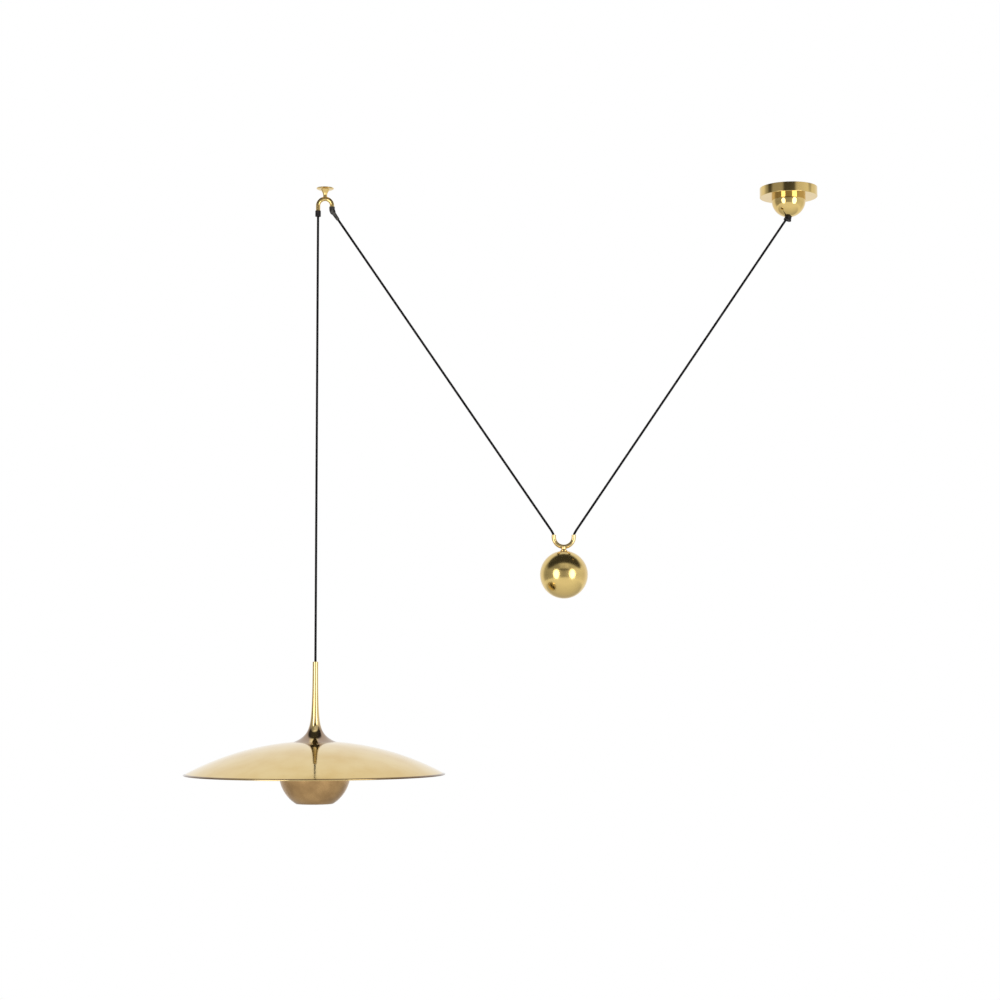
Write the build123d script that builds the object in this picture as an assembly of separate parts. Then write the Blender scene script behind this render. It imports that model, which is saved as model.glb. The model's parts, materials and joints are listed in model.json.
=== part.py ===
from build123d import *
import math
import os

os.makedirs("parts", exist_ok=True)

# Rise-and-fall pendant lamp with a ball counterweight, in millimetres, +Z up.
# The origin is on the ceiling, on the canopy's axis. The hook and the lamp are on the -X side.

# Cord
CORD_D = 5.0
CORD_CLEAR = 0.3  # radial room round the cord in grips, sleeves and bushes
BEND_R = 15.0  # bend of the cord where a slanted leg leaves a tube
TUBE_CLEAR = 0.8  # radial room round the cord in the two bent tubes
TUBE_WALL = 1.4
PIPE_CLEAR = 1.1  # radial room round the cord in the threaded pipes
PIPE_WALL = 1.4
FIT = 0.05  # radial gap of a screwed, soldered or crimped fit

# Layout on the ceiling
HOOK_SPACING = 1002.0  # canopy axis to hook axis
WEIGHT_DROP = 751.5  # ceiling to the mouths of the guide tube
LAMP_DROP = 1020.0  # ceiling to the top of the lamp's stem

# Canopy
CANOPY_D = 124.0
CANOPY_H = 20.0
CANOPY_WALL = 1.0
CANOPY_EDGE_R = 0.8
DOME_R = 36.4
DOME_NECK = 7.0  # straight part between the pan and the half ball
DOME_WALL = 1.0
BRACKET_T = 2.0
BRACKET_W = 20.0
BRACKET_EAR = 20.0
BRACKET_HOLES = 72.0  # spacing of the two ceiling screws
BRACKET_HOLE_R = 2.6
BRACKET_BEND_R = 2.5  # inside radius of its four folds
NUT_ACROSS = 17.0
NUT_T = 4.5
PIPE_STAND = 0.5  # thread that shows past a nut
STOP_LENGTH = 6.0  # crimped cord stop
STOP_ROOM = 0.15  # radial room of the stop in its bore
CORD_END = 0.5  # sheath past the stop, before the bare wires
GRIP_HUB_WALL = 2.0
GRIP_HUB_OVERLAP = 7.0  # thread of the grip on the canopy's pipe
GRIP_HUB_RISE = 12.0  # from the dome's lowest point up to the pipe's end
GRIP_NOSE = 8.5  # length of the nose under the dome
GRIP_MOUTH_R = 8.4
GRIP_ROOT_R = 6.6
GRIP_TILT = 18.0  # the cord pulls the soft nose to one side
GRIP_SEAT = 0.1
CANOPY_BEND_RISE = 3.5  # corner of the cord above the dome's lowest point

# Wiring in the canopy
WIRE_D = 1.6
WIRE_PITCH = 2.6
WIRE_LIFT = 0.5
WIRE_BEND_R = 2.0
WIRE_DROP_R = 4.0
WIRE_ENTRY = 4.0  # depth of a wire in the block
WIRE_SPREAD = 12.0  # degrees that each wire turns away from the other
BLOCK_SIZE = (24.0, 12.0, 10.0)
BLOCK_Y = 27.0
TERMINAL_SCREW_R = 1.8
TERMINAL_SCREW_T = 1.5
TERMINAL_SCREW_SETBACK = 4.0  # from a wire to its screw
TERMINAL_SLOT = 0.6

# Hook
HOOK_R = 15.0  # centre line of the arch
HOOK_TUBE_TOP = 18.5  # ceiling to the top of the tube
HOOK_LONG_LEG = 14.1  # straight end on the lamp's side
HOOK_SHORT_LEG = 5.5  # straight end on the weight's side
HOOK_BEND_DROP = 5.7  # corner of the cord below the short end
ROSETTE_R = 18.5
ROSETTE_T = 2.5
ROSETTE_EDGE = 1.0
ROSETTE_BEVEL = 2.5
HOOK_STEM_TOP_R = 9.5
HOOK_STEM_WAIST_R = 4.3
HOOK_STEM_CONE = 10.0
HOOK_STEM_BLEND_R = 12.0
HOOK_SPIGOT_R = 5.0
HOOK_THREAD_R = 2.5  # tapped for a 6 mm ceiling stud
HOOK_THREAD_DEPTH = 12.0
SLEEVE_LAP = 3.0  # a sleeve's grip on the tube
SLEEVE_WALL = 1.3
SLEEVE_DROP_LENGTH = 12.8
SLEEVE_EDGE_R = 0.7
SLEEVE_BODY = 8.0  # straight part after the bend
SLEEVE_TAIL = 11.0
SLEEVE_TAIL_WALL = 0.7

# Counterweight
GUIDE_R = 21.3  # centre line of the U
GUIDE_BEND_RISE = 2.0  # corner of the cord above the mouths
GUIDE_LEAD = 1.4  # straight cord between the U and the bend
GUIDE_STUB = 8.0  # straight cord past the bend that rides with the weight
MOUTH_CHAMFER = 0.5
BALL_D = 101.8
NECK_H = 4.5
NECK_R = 5.2
NECK_FOOT_R = 8.5
NECK_FOOT_T = 0.8
NECK_FLARE = 2.4
NECK_BLEND_R = 2.0
STUD_R = 4.0
STUD_LENGTH = 16.0
STUD_ROOM = 1.0

# Lamp stem, a trumpet whose radius falls off as two exponentials
STEM_H = 168.5
STEM_NECK_R = 5.6
FLARE_R = 31.0
FLARE_LENGTH = 13.0
WAIST_R = 8.7
WAIST_LENGTH = 45.0
FLARE_WALL = 1.4
FLARE_HOLLOW = 16.0  # height of the hollow under the flare
STEM_BORE_CLEAR = 1.0
STEM_SHOULDER = 45.0  # height of the shoulder that hangs on the cord stop
BUSH_LENGTH = 8.0
BUSH_WALL = 1.4
PIPE_GAP = 0.4  # cord stop to the pipe under it
STEM_POINTS = 10  # points of the curve on the outside
HOLLOW_POINTS = 5  # points of the curve in the hollow

# Shade
SHADE_RIM_R = 275.0
SHADE_RISE = 70.0
SHADE_WALL = 0.9
SHADE_SEAT_ROOM = 1.0  # flat seat past the stem's flare
RIM_BEAD_R = 1.2
WASHER_R = 25.0
WASHER_T = 5.0

# Bowl and its carrier
BOWL_R = 75.0
BOWL_WALL = 1.0
BOWL_DEPTH = 64.0  # widest part to the mouth
BOWL_COLLAR = 9.0
BOWL_LIFT = 3.0  # widest part above the shade's rim
BOWL_LIP_R = 0.4
CARRIER_T = 2.0
CARRIER_HUB_R = 20.0
CARRIER_ARM_W = 12.0
CARRIER_ARMS = 3
CARRIER_SEAT = 0.1
CARRIER_BEND_R = 2.0
CARRIER_LAP = 4.0  # arm welded on the hub
CARRIER_FOOT_RISE = 1.0  # lower end of an arm above the bowl's widest part
BOWL_SCREW_R = 1.5
BOWL_SCREW_RISE = 5.0
BOWL_SCREW_HEAD_R = 2.8
BOWL_SCREW_HEAD_T = 1.8
BOWL_SCREW_LENGTH = 6.0

# Lampholder and bulb
HOLDER_R = 18.0
HOLDER_WALL = 2.0
HOLDER_GAP = 4.0  # nut to the holder's cap
HOLDER_HUB = 5.0  # thread of the cap on the pipe
HOLDER_CAP_H = 15.0
HOLDER_CAP_EDGE_R = 4.0
CORE_H = 10.0
CORE_REACH = 2.0  # core sunk in the skirt
CORE_ROOM = 0.1
SKIRT_LAP = 2.5  # skirt past the bulb's cap
CORE_EDGE = 1.0
CONTACT_R = 4.0
CONTACT_T = 1.0
CONTACT_TIP_R = 2.0
CONTACT_TIP = 1.5
BULB_CAP_R = 13.0
BULB_CAP_H = 23.0
BULB_SHOULDER = 2.5
BULB_TIP_R = 4.5
BULB_TIP_T = 1.5
GLOBE_R = 22.5
GLOBE_WALL = 0.8
BULB_NECK_R = 12.5
BULB_NECK = 7.5
BULB_FILLET_R = 6.0

# How a primitive stands on its own origin
STANDING = (Align.CENTER, Align.CENTER, Align.MIN)
HANGING = (Align.CENTER, Align.CENTER, Align.MAX)

# Worked out: tubes and pipes that the cord runs through
cord_r = CORD_D / 2
tube_bore_r = cord_r + TUBE_CLEAR
tube_r = tube_bore_r + TUBE_WALL
pipe_bore_r = cord_r + PIPE_CLEAR
pipe_r = pipe_bore_r + PIPE_WALL
sleeve_bore_r = cord_r + CORD_CLEAR
sleeve_r = tube_r + FIT + SLEEVE_WALL
stop_r = pipe_r - STOP_ROOM

# Worked out: heights in the canopy
pan_under = -CANOPY_H
pan_inside = pan_under + CANOPY_WALL
bridge_top = pan_inside + BRACKET_T
canopy_pipe_top = bridge_top + NUT_T + PIPE_STAND
canopy_cord_top = canopy_pipe_top + STOP_LENGTH + CORD_END
dome_centre = pan_under - DOME_NECK
dome_bottom = dome_centre - DOME_R
canopy_pipe_end = dome_bottom + GRIP_HUB_RISE
grip_hub_r = pipe_r + FIT + GRIP_HUB_WALL

# Worked out: the hook's tube
lamp_x = -HOOK_SPACING - HOOK_R
arch_z = -HOOK_TUBE_TOP - tube_r - HOOK_R
long_end_z = arch_z - HOOK_LONG_LEG
short_end_z = arch_z - HOOK_SHORT_LEG
drop_mouth_z = long_end_z + SLEEVE_LAP - SLEEVE_DROP_LENGTH

# Worked out: the cord's corners. It runs freely, so both legs have the same slope.
hook_corner = Vector(-HOOK_SPACING + HOOK_R, 0, short_end_z - HOOK_BEND_DROP)
canopy_corner = Vector(0, 0, dome_bottom + CANOPY_BEND_RISE)
guide_corner_z = -WEIGHT_DROP + GUIDE_BEND_RISE
legs_across = canopy_corner.X - hook_corner.X - 2 * GUIDE_R
legs_down = hook_corner.Z + canopy_corner.Z - 2 * guide_corner_z
leg_slope = legs_across / legs_down
leg_angle = math.degrees(math.atan(leg_slope))
weight_x = hook_corner.X + GUIDE_R + leg_slope * (hook_corner.Z - guide_corner_z)
bend_reach = BEND_R * math.tan(math.radians(leg_angle / 2))

# Worked out: heights of the counterweight
guide_straight = GUIDE_LEAD + bend_reach - GUIDE_BEND_RISE
guide_centre_z = -WEIGHT_DROP - guide_straight
neck_top_z = guide_centre_z - GUIDE_R - tube_r
neck_foot_z = neck_top_z - NECK_H
ball_flat = math.sqrt((BALL_D / 2) ** 2 - NECK_FOOT_R**2)
ball_z = neck_foot_z - ball_flat

# Worked out: the lamp's head. Its own heights count from the shade's rim.
stem_base_r = STEM_NECK_R + FLARE_R + WAIST_R
seat_r = stem_base_r + SHADE_SEAT_ROOM
shade_r = (SHADE_RIM_R**2 + SHADE_RISE**2) / (2 * SHADE_RISE)
shade_centre = SHADE_RISE - shade_r
seat_z = shade_centre + math.sqrt(shade_r**2 - seat_r**2)
rim_z = -LAMP_DROP - STEM_H - seat_z
washer_z = seat_z - SHADE_WALL - WASHER_T
carrier_z = washer_z - CARRIER_T
shade_nut_z = carrier_z - NUT_T
holder_top = shade_nut_z - HOLDER_GAP
pipe_end = holder_top - HOLDER_HUB
stop_top = seat_z + STEM_SHOULDER
pipe_top = stop_top - STOP_LENGTH - PIPE_GAP
skirt_top = holder_top - HOLDER_CAP_H
core_z = skirt_top - CORE_REACH
contact_z = core_z - CONTACT_T - CONTACT_TIP
bulb_tip_z = contact_z - BULB_TIP_T
bulb_cap_top = bulb_tip_z - BULB_SHOULDER
bulb_cap_z = bulb_cap_top - BULB_CAP_H
skirt_mouth = bulb_cap_z - SKIRT_LAP
skirt_bore_r = BULB_CAP_R + FIT
globe_z = bulb_cap_z - BULB_NECK - math.sqrt(GLOBE_R**2 - BULB_NECK_R**2)


def turned(profile):
    """Turn a closed profile, drawn as (radius, height), about the Z axis."""
    return revolve(Plane.XZ * profile, Axis.Z)


def ring(inner_r, outer_r, low, high):
    """A plain ring between two heights."""
    return turned(Polygon((inner_r, low), (outer_r, low), (outer_r, high), (inner_r, high), align=None))


def arc(centre_z, radius, start, end):
    """A round stretch of a profile about a centre on the axis, between two angles in degrees."""
    angles = [math.radians(start), math.radians((start + end) / 2), math.radians(end)]
    points = [(radius * math.cos(a), centre_z + radius * math.sin(a)) for a in angles]
    return ThreePointArc(*points)


def angle_at(r, radius):
    """Angle in degrees at which a circle of that radius reaches r from the axis."""
    return math.degrees(math.acos(r / radius))


def hexagon_nut(low):
    """A hexagon nut on the threaded pipe."""
    blank = extrude(RegularPolygon(NUT_ACROSS / 2, 6, major_radius=False), NUT_T)
    return Pos(0, 0, low) * (blank - Cylinder(pipe_r + FIT, 3 * NUT_T))


def heading(degrees):
    """Unit vector in the XZ plane: 0 is up, 90 is towards +X."""
    return Vector(math.sin(math.radians(degrees)), 0, math.cos(math.radians(degrees)))


def route(start, degrees, moves):
    """A wire of straight runs (length,) and tangent arcs (radius, turn). A turn over 0 is clockwise."""
    point = Vector(start)
    edges = []
    for move in moves:
        if len(move) == 1:
            end = point + heading(degrees) * move[0]
            edges.append(Edge.make_line(point, end))
        else:
            radius, turn = move
            side = math.copysign(90, turn)
            centre = point + heading(degrees + side) * radius
            middle = centre + heading(degrees + turn / 2 - side) * radius
            degrees += turn
            end = centre + heading(degrees - side) * radius
            edges.append(Edge.make_three_point_arc(point, middle, end))
        point = end
    return Wire(edges)


def rod(path, radius):
    """A round rod along a wire."""
    return sweep(Plane(path @ 0, z_dir=path % 0) * Circle(radius), path=path)


def strap(path, width, thickness):
    """A flat strap along a wire, with its width along Y."""
    section = Plane(path @ 0, x_dir=(0, 1, 0), z_dir=path % 0) * Rectangle(width, thickness)
    return sweep(section, path=path)


def rounded(profile, corner, radius):
    """Round the corner of a profile that lies nearest to a point."""
    return fillet(profile.vertices().sort_by_distance((*corner, 0))[0], radius)


# Routes of the cord and of the tubes that hold it
hook_tube_route = route(
    (lamp_x, 0, long_end_z), 0, [(HOOK_LONG_LEG,), (HOOK_R, 180), (HOOK_SHORT_LEG,)]
)
hook_run = HOOK_SHORT_LEG + HOOK_BEND_DROP - bend_reach
hook_cord_route = route(
    (lamp_x, 0, drop_mouth_z),
    0,
    [
        (arch_z - drop_mouth_z,),
        (HOOK_R, 180),
        (hook_run,),
        (BEND_R, -leg_angle),
        (SLEEVE_BODY + SLEEVE_TAIL,),
    ],
)
sleeve_route = route(
    hook_tube_route @ 1 + Vector(0, 0, SLEEVE_LAP),
    180,
    [(SLEEVE_LAP + HOOK_BEND_DROP - bend_reach,), (BEND_R, -leg_angle), (SLEEVE_BODY,)],
)
guide_route = route(
    (weight_x - GUIDE_R, 0, -WEIGHT_DROP), 180, [(guide_straight,), (GUIDE_R, -180), (guide_straight,)]
)
guide_cord_start = Vector(weight_x - GUIDE_R, 0, guide_corner_z) - heading(180 - leg_angle) * (
    bend_reach + GUIDE_STUB
)
guide_cord_route = route(
    guide_cord_start,
    180 - leg_angle,
    [
        (GUIDE_STUB,),
        (BEND_R, leg_angle),
        (GUIDE_LEAD,),
        (GUIDE_R, -180),
        (GUIDE_LEAD,),
        (BEND_R, leg_angle),
        (GUIDE_STUB,),
    ],
)
grip_reach = (GRIP_NOSE + CANOPY_BEND_RISE) / math.cos(math.radians(leg_angle)) - bend_reach
canopy_cord_route = route(
    (0, 0, canopy_cord_top),
    180,
    [(canopy_cord_top - canopy_corner.Z - bend_reach,), (BEND_R, leg_angle), (grip_reach,)],
)
left_leg_route = Wire([Edge.make_line(hook_cord_route @ 1, guide_cord_route @ 0)])
right_leg_route = Wire([Edge.make_line(canopy_cord_route @ 1, guide_cord_route @ 1)])
drop_route = Wire([Edge.make_line((lamp_x, 0, drop_mouth_z), (lamp_x, 0, -LAMP_DROP))])
core_top_z = rim_z + core_z + CORE_H
stem_cord_route = Wire([Edge.make_line((lamp_x, 0, -LAMP_DROP), (lamp_x, 0, core_top_z))])


def canopy_bracket():
    """Steel strap, folded so that its bridge carries the pan and leaves room for the wires."""
    fold_r = BRACKET_BEND_R + BRACKET_T / 2
    riser_x = (BRACKET_HOLES - BRACKET_EAR) / 2
    ear = BRACKET_EAR - fold_r
    riser = -pan_inside - BRACKET_T - 2 * fold_r
    bridge = 2 * (riser_x - fold_r)
    down = [(ear,), (fold_r, 90), (riser,), (fold_r, -90)]
    up = [(fold_r, -90), (riser,), (fold_r, 90), (ear,)]
    folds = route((-riser_x - BRACKET_EAR, 0, -BRACKET_T / 2), 90, [*down, (bridge,), *up])
    bracket = strap(folds, BRACKET_W, BRACKET_T)
    for side in (-1, 1):
        bracket -= Pos(side * BRACKET_HOLES / 2, 0, 0) * Cylinder(BRACKET_HOLE_R, 4 * BRACKET_T)
    return bracket - Pos(0, 0, pan_inside) * Cylinder(pipe_r + FIT, 4 * BRACKET_T)


def canopy_pipe():
    """Hollow threaded pipe that holds the pan and the grip to the bracket."""
    return ring(pipe_bore_r, pipe_r, canopy_pipe_end, canopy_pipe_top)


def canopy_nuts():
    """One nut on the bracket's bridge and one under the pan."""
    return Compound(children=[hexagon_nut(bridge_top), hexagon_nut(pan_under - NUT_T)])


def canopy_pan():
    """Round pan, open to the ceiling."""
    outer_r = CANOPY_D / 2
    inner_r = outer_r - CANOPY_WALL
    hole_r = pipe_r + FIT
    profile = Polygon(
        (outer_r, 0),
        (outer_r, pan_under),
        (hole_r, pan_under),
        (hole_r, pan_inside),
        (inner_r, pan_inside),
        (inner_r, 0),
        align=None,
    )
    return turned(rounded(profile, (outer_r, pan_under), CANOPY_EDGE_R))


def canopy_dome():
    """Half ball on a short straight neck, with a hole for the grip's hub."""
    inner_r = DOME_R - DOME_WALL
    hole_r = grip_hub_r + GRIP_SEAT
    outer_arc = arc(dome_centre, DOME_R, 0, -angle_at(hole_r, DOME_R))
    inner_arc = arc(dome_centre, inner_r, -angle_at(hole_r, inner_r), 0)
    profile = make_face(
        [
            Line((inner_r, pan_under), (DOME_R, pan_under)),
            Line((DOME_R, pan_under), outer_arc @ 0),
            outer_arc,
            Line(outer_arc @ 1, inner_arc @ 0),
            inner_arc,
            Line(inner_arc @ 1, (inner_r, pan_under)),
        ]
    )
    return turned(profile)


def canopy_cord_grip():
    """Grip with a hub on the pipe and a soft nose that the cord pulls to one side."""
    hub = ring(0, grip_hub_r, dome_bottom, canopy_pipe_end + GRIP_HUB_OVERLAP)
    length = GRIP_NOSE + CANOPY_BEND_RISE
    cone = Cone(GRIP_MOUTH_R, GRIP_ROOT_R, length, align=HANGING)
    nose = Pos(canopy_corner) * Rot(0, GRIP_TILT, 0) * cone
    nose -= Pos(0, 0, dome_centre) * Sphere(DOME_R + GRIP_SEAT)
    grip = hub + nose
    grip -= ring(0, pipe_r + FIT, canopy_pipe_end, canopy_pipe_top)
    return grip - rod(canopy_cord_route, sleeve_bore_r)


def canopy_cord_stop():
    """Brass stop, crimped on the cord, that hangs on the pipe's upper end."""
    return ring(cord_r + FIT, stop_r, canopy_pipe_top, canopy_pipe_top + STOP_LENGTH)


def wire_place(side):
    """Place of one supply wire: beside the cord's axis, turned a little away from the other."""
    return Pos(-side * WIRE_PITCH / 2, 0, 0) * Rot(0, 0, 90 + side * WIRE_SPREAD)


wire_reach = BLOCK_Y / math.cos(math.radians(WIRE_SPREAD))
block_top = pan_inside + BLOCK_SIZE[2]


def supply_wires():
    """Two wires from the cord's upper end down into the terminal block."""
    level = canopy_cord_top + WIRE_LIFT + WIRE_BEND_R
    path = route(
        (0, 0, canopy_cord_top),
        0,
        [
            (WIRE_LIFT,),
            (WIRE_BEND_R, 90),
            (wire_reach - WIRE_BEND_R - WIRE_DROP_R,),
            (WIRE_DROP_R, 90),
            (level - WIRE_DROP_R - block_top + WIRE_ENTRY,),
        ],
    )
    wire = rod(path, WIRE_D / 2)
    return Compound(children=[wire_place(side) * wire for side in (-1, 1)])


def terminal_place(side, setback):
    """Place on the block's top, above one wire or set back from it."""
    return Pos(0, setback, block_top) * wire_place(side) * Pos(wire_reach, 0, 0)


def terminal_block():
    """Ceramic block on the pan, with a hole for each wire and for each screw."""
    width, depth, height = BLOCK_SIZE
    block = Pos(0, BLOCK_Y, pan_inside) * Box(width, depth, height, align=STANDING)
    for side in (-1, 1):
        screw_hole = Cylinder(TERMINAL_SCREW_R + FIT, 2 * TERMINAL_SCREW_T)
        block -= terminal_place(side, 0) * Cylinder(WIRE_D / 2 + FIT, 2 * WIRE_ENTRY)
        block -= terminal_place(side, TERMINAL_SCREW_SETBACK) * screw_hole
    return block


def terminal_screws():
    """Two slotted screws, flush with the block's top."""
    screw = Cylinder(TERMINAL_SCREW_R, TERMINAL_SCREW_T, align=HANGING)
    screw -= Box(2 * TERMINAL_SCREW_R, TERMINAL_SLOT, 2 * TERMINAL_SLOT)
    return Compound(children=[terminal_place(side, TERMINAL_SCREW_SETBACK) * screw for side in (-1, 1)])


def hook_rosette():
    """Small bevelled disc against the ceiling."""
    hole_r = HOOK_SPIGOT_R + FIT
    profile = Polygon(
        (hole_r, 0),
        (ROSETTE_R, 0),
        (ROSETTE_R, -ROSETTE_EDGE),
        (ROSETTE_R - ROSETTE_BEVEL, -ROSETTE_T),
        (hole_r, -ROSETTE_T),
        align=None,
    )
    return Pos(-HOOK_SPACING, 0, 0) * turned(profile)


def hook_stem():
    """Tapered stem, tapped from above and saddled over the bent tube."""
    cone_end = -ROSETTE_T - HOOK_STEM_CONE
    axis_z = arch_z + HOOK_R
    profile = Polygon(
        (0, -HOOK_THREAD_DEPTH),
        (HOOK_THREAD_R, -HOOK_THREAD_DEPTH),
        (HOOK_THREAD_R, 0),
        (HOOK_SPIGOT_R, 0),
        (HOOK_SPIGOT_R, -ROSETTE_T),
        (HOOK_STEM_TOP_R, -ROSETTE_T),
        (HOOK_STEM_WAIST_R, cone_end),
        (HOOK_STEM_WAIST_R, axis_z),
        (0, axis_z),
        align=None,
    )
    stem = turned(rounded(profile, (HOOK_STEM_WAIST_R, cone_end), HOOK_STEM_BLEND_R))
    return Pos(-HOOK_SPACING, 0, 0) * stem - rod(hook_tube_route, tube_r + FIT)


def hook_tube():
    """Bent tube that the cord runs over."""
    return rod(hook_tube_route, tube_r) - rod(hook_tube_route, tube_bore_r)


def hook_sleeve_drop():
    """Straight sleeve on the tube's long end, above the lamp."""
    lap_r = tube_r + FIT
    top = long_end_z + SLEEVE_LAP
    profile = Polygon(
        (lap_r, top),
        (sleeve_r, top),
        (sleeve_r, drop_mouth_z),
        (sleeve_bore_r, drop_mouth_z),
        (sleeve_bore_r, long_end_z),
        (lap_r, long_end_z),
        align=None,
    )
    profile = rounded(profile, (sleeve_r, top), SLEEVE_EDGE_R)
    profile = rounded(profile, (sleeve_r, drop_mouth_z), SLEEVE_EDGE_R)
    return Pos(lamp_x, 0, 0) * turned(profile)


def hook_sleeve_leg():
    """Soft sleeve on the tube's short end, bent along the cord, with a tapered tail."""
    tail = Cone(sleeve_r, sleeve_bore_r + SLEEVE_TAIL_WALL, SLEEVE_TAIL, align=STANDING)
    sleeve = rod(sleeve_route, sleeve_r) + Plane(sleeve_route @ 1, z_dir=sleeve_route % 1) * tail
    sleeve -= rod(hook_tube_route, tube_r + FIT)
    return sleeve - rod(hook_cord_route, sleeve_bore_r)


def guide_tube():
    """U-shaped tube that rides on the cord, eased at its two mouths."""
    tube = rod(guide_route, tube_r) - rod(guide_route, tube_bore_r)
    mouths = tube.edges().filter_by(GeomType.CIRCLE).group_by(Axis.Z)[-1]
    return chamfer(mouths.filter_by(lambda edge: edge.radius < tube_r - FIT), MOUTH_CHAMFER)


def weight_neck():
    """Turned neck, saddled under the guide tube, with a stud into the ball."""
    flare_z = neck_foot_z + NECK_FOOT_T + NECK_FLARE
    profile = Polygon(
        (0, neck_foot_z - STUD_LENGTH),
        (STUD_R, neck_foot_z - STUD_LENGTH),
        (STUD_R, neck_foot_z),
        (NECK_FOOT_R, neck_foot_z),
        (NECK_FOOT_R, neck_foot_z + NECK_FOOT_T),
        (NECK_R, flare_z),
        (NECK_R, neck_top_z + tube_r),
        (0, neck_top_z + tube_r),
        align=None,
    )
    neck = turned(rounded(profile, (NECK_R, flare_z), NECK_BLEND_R))
    return Pos(weight_x, 0, 0) * neck - rod(guide_route, tube_r + FIT)


def weight_ball():
    """Solid ball with a small flat and a blind hole for the neck."""
    ball_r = BALL_D / 2
    hole_r = STUD_R + FIT
    hole_z = ball_flat - STUD_LENGTH - STUD_ROOM
    outline = arc(0, ball_r, -90, angle_at(NECK_FOOT_R, ball_r))
    profile = make_face(
        [
            outline,
            Line(outline @ 1, (hole_r, ball_flat)),
            Line((hole_r, ball_flat), (hole_r, hole_z)),
            Line((hole_r, hole_z), (0, hole_z)),
            Line((0, hole_z), outline @ 0),
        ]
    )
    return Pos(weight_x, 0, ball_z) * turned(profile)


def stem_radius(height):
    """Radius of the trumpet at a height above its foot."""
    flare = FLARE_R * math.exp(-height / FLARE_LENGTH)
    waist = WAIST_R * math.exp(-height / WAIST_LENGTH)
    return STEM_NECK_R + flare + waist


def stem_curve(top, lower, points):
    """The trumpet's line from its foot up to a height, closer set towards the foot."""
    heights = [top * (i / (points - 1)) ** 2 for i in range(points)]
    return Spline([(stem_radius(height + lower), seat_z + height) for height in heights])


def stem_trumpet():
    """Trumpet-shaped stem: bored for the cord, threaded inside, hollow under its flare."""
    top = seat_z + STEM_H
    bush_r = sleeve_bore_r + BUSH_WALL + FIT
    bore_r = cord_r + STEM_BORE_CLEAR
    thread_r = pipe_r + FIT
    outside = stem_curve(STEM_H, 0, STEM_POINTS)
    hollow = stem_curve(FLARE_HOLLOW, FLARE_WALL, HOLLOW_POINTS)
    inside = Polyline(
        outside @ 1,
        (bush_r, top),
        (bush_r, top - BUSH_LENGTH),
        (bore_r, top - BUSH_LENGTH),
        (bore_r, stop_top),
        (thread_r, stop_top),
        (thread_r, seat_z + FLARE_HOLLOW),
        hollow @ 1,
    )
    return turned(make_face([outside, *inside.edges(), hollow, Line(hollow @ 0, outside @ 0)]))


def stem_bush():
    """Insulating bush that the cord enters at the top of the stem."""
    top = seat_z + STEM_H
    return ring(sleeve_bore_r, sleeve_bore_r + BUSH_WALL, top - BUSH_LENGTH, top)


def stem_cord_stop():
    """Brass stop on the cord, under the stem's shoulder: the lamp hangs on it."""
    return ring(cord_r + FIT, stop_r, stop_top - STOP_LENGTH, stop_top)


def centre_pipe():
    """Hollow threaded pipe from the stem through the shade to the lampholder."""
    return ring(pipe_bore_r, pipe_r, pipe_end, pipe_top)


def shade():
    """Spun dish: a flat seat, a round sweep and a rolled rim."""
    hole_r = pipe_r + FIT
    inner_r = shade_r - SHADE_WALL
    seat_under = seat_z - SHADE_WALL
    under_r = math.sqrt(inner_r**2 - (seat_under - shade_centre) ** 2)
    bead_x = SHADE_RIM_R - RIM_BEAD_R
    middle_r = shade_r - SHADE_WALL / 2
    rim_angle = angle_at(bead_x, middle_r)
    bead_y = shade_centre + middle_r * math.sin(math.radians(rim_angle))
    outside = arc(shade_centre, shade_r, angle_at(seat_r, shade_r), rim_angle)
    inside = arc(shade_centre, inner_r, rim_angle, angle_at(under_r, inner_r))
    profile = make_face(
        [
            Line((hole_r, seat_z), outside @ 0),
            outside,
            Line(outside @ 1, inside @ 0),
            inside,
            Line(inside @ 1, (hole_r, seat_under)),
            Line((hole_r, seat_under), (hole_r, seat_z)),
        ]
    )
    return turned(profile + Pos(bead_x, bead_y) * Circle(RIM_BEAD_R))


def shade_washer():
    """Thick washer that clamps the shade to the stem."""
    return ring(pipe_r + FIT, WASHER_R, washer_z, washer_z + WASHER_T)


def arm_angles():
    """Directions of the carrier's arms, the first one to the back."""
    return [90 + 360 * i / CARRIER_ARMS for i in range(CARRIER_ARMS)]


def bowl_screw_place(angle):
    """Place of a bowl screw: on the collar's outside, with Z pointing outwards."""
    return Rot(0, 0, angle) * Pos(BOWL_R, 0, BOWL_LIFT + BOWL_SCREW_RISE) * Rot(0, 90, 0)


def bowl_carrier():
    """Hub with bent arms that reach down inside the bowl's collar."""
    fold_r = CARRIER_BEND_R + CARRIER_T / 2
    seat_r = BOWL_R - BOWL_WALL - CARRIER_SEAT
    arm_x = math.sqrt(seat_r**2 - (CARRIER_ARM_W / 2) ** 2) - CARRIER_T / 2
    start_x = CARRIER_HUB_R - CARRIER_LAP
    level = carrier_z + CARRIER_T / 2
    down = level - fold_r - BOWL_LIFT - CARRIER_FOOT_RISE
    path = route((start_x, 0, level), 90, [(arm_x - fold_r - start_x,), (fold_r, 90), (down,)])
    arm = strap(path, CARRIER_ARM_W, CARRIER_T)
    carrier = ring(pipe_r + FIT, CARRIER_HUB_R, carrier_z, washer_z)
    for angle in arm_angles():
        carrier += Rot(0, 0, angle) * arm
    for angle in arm_angles():
        carrier -= bowl_screw_place(angle) * Cylinder(BOWL_SCREW_R + FIT, 3 * BOWL_SCREW_LENGTH)
    return carrier


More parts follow.
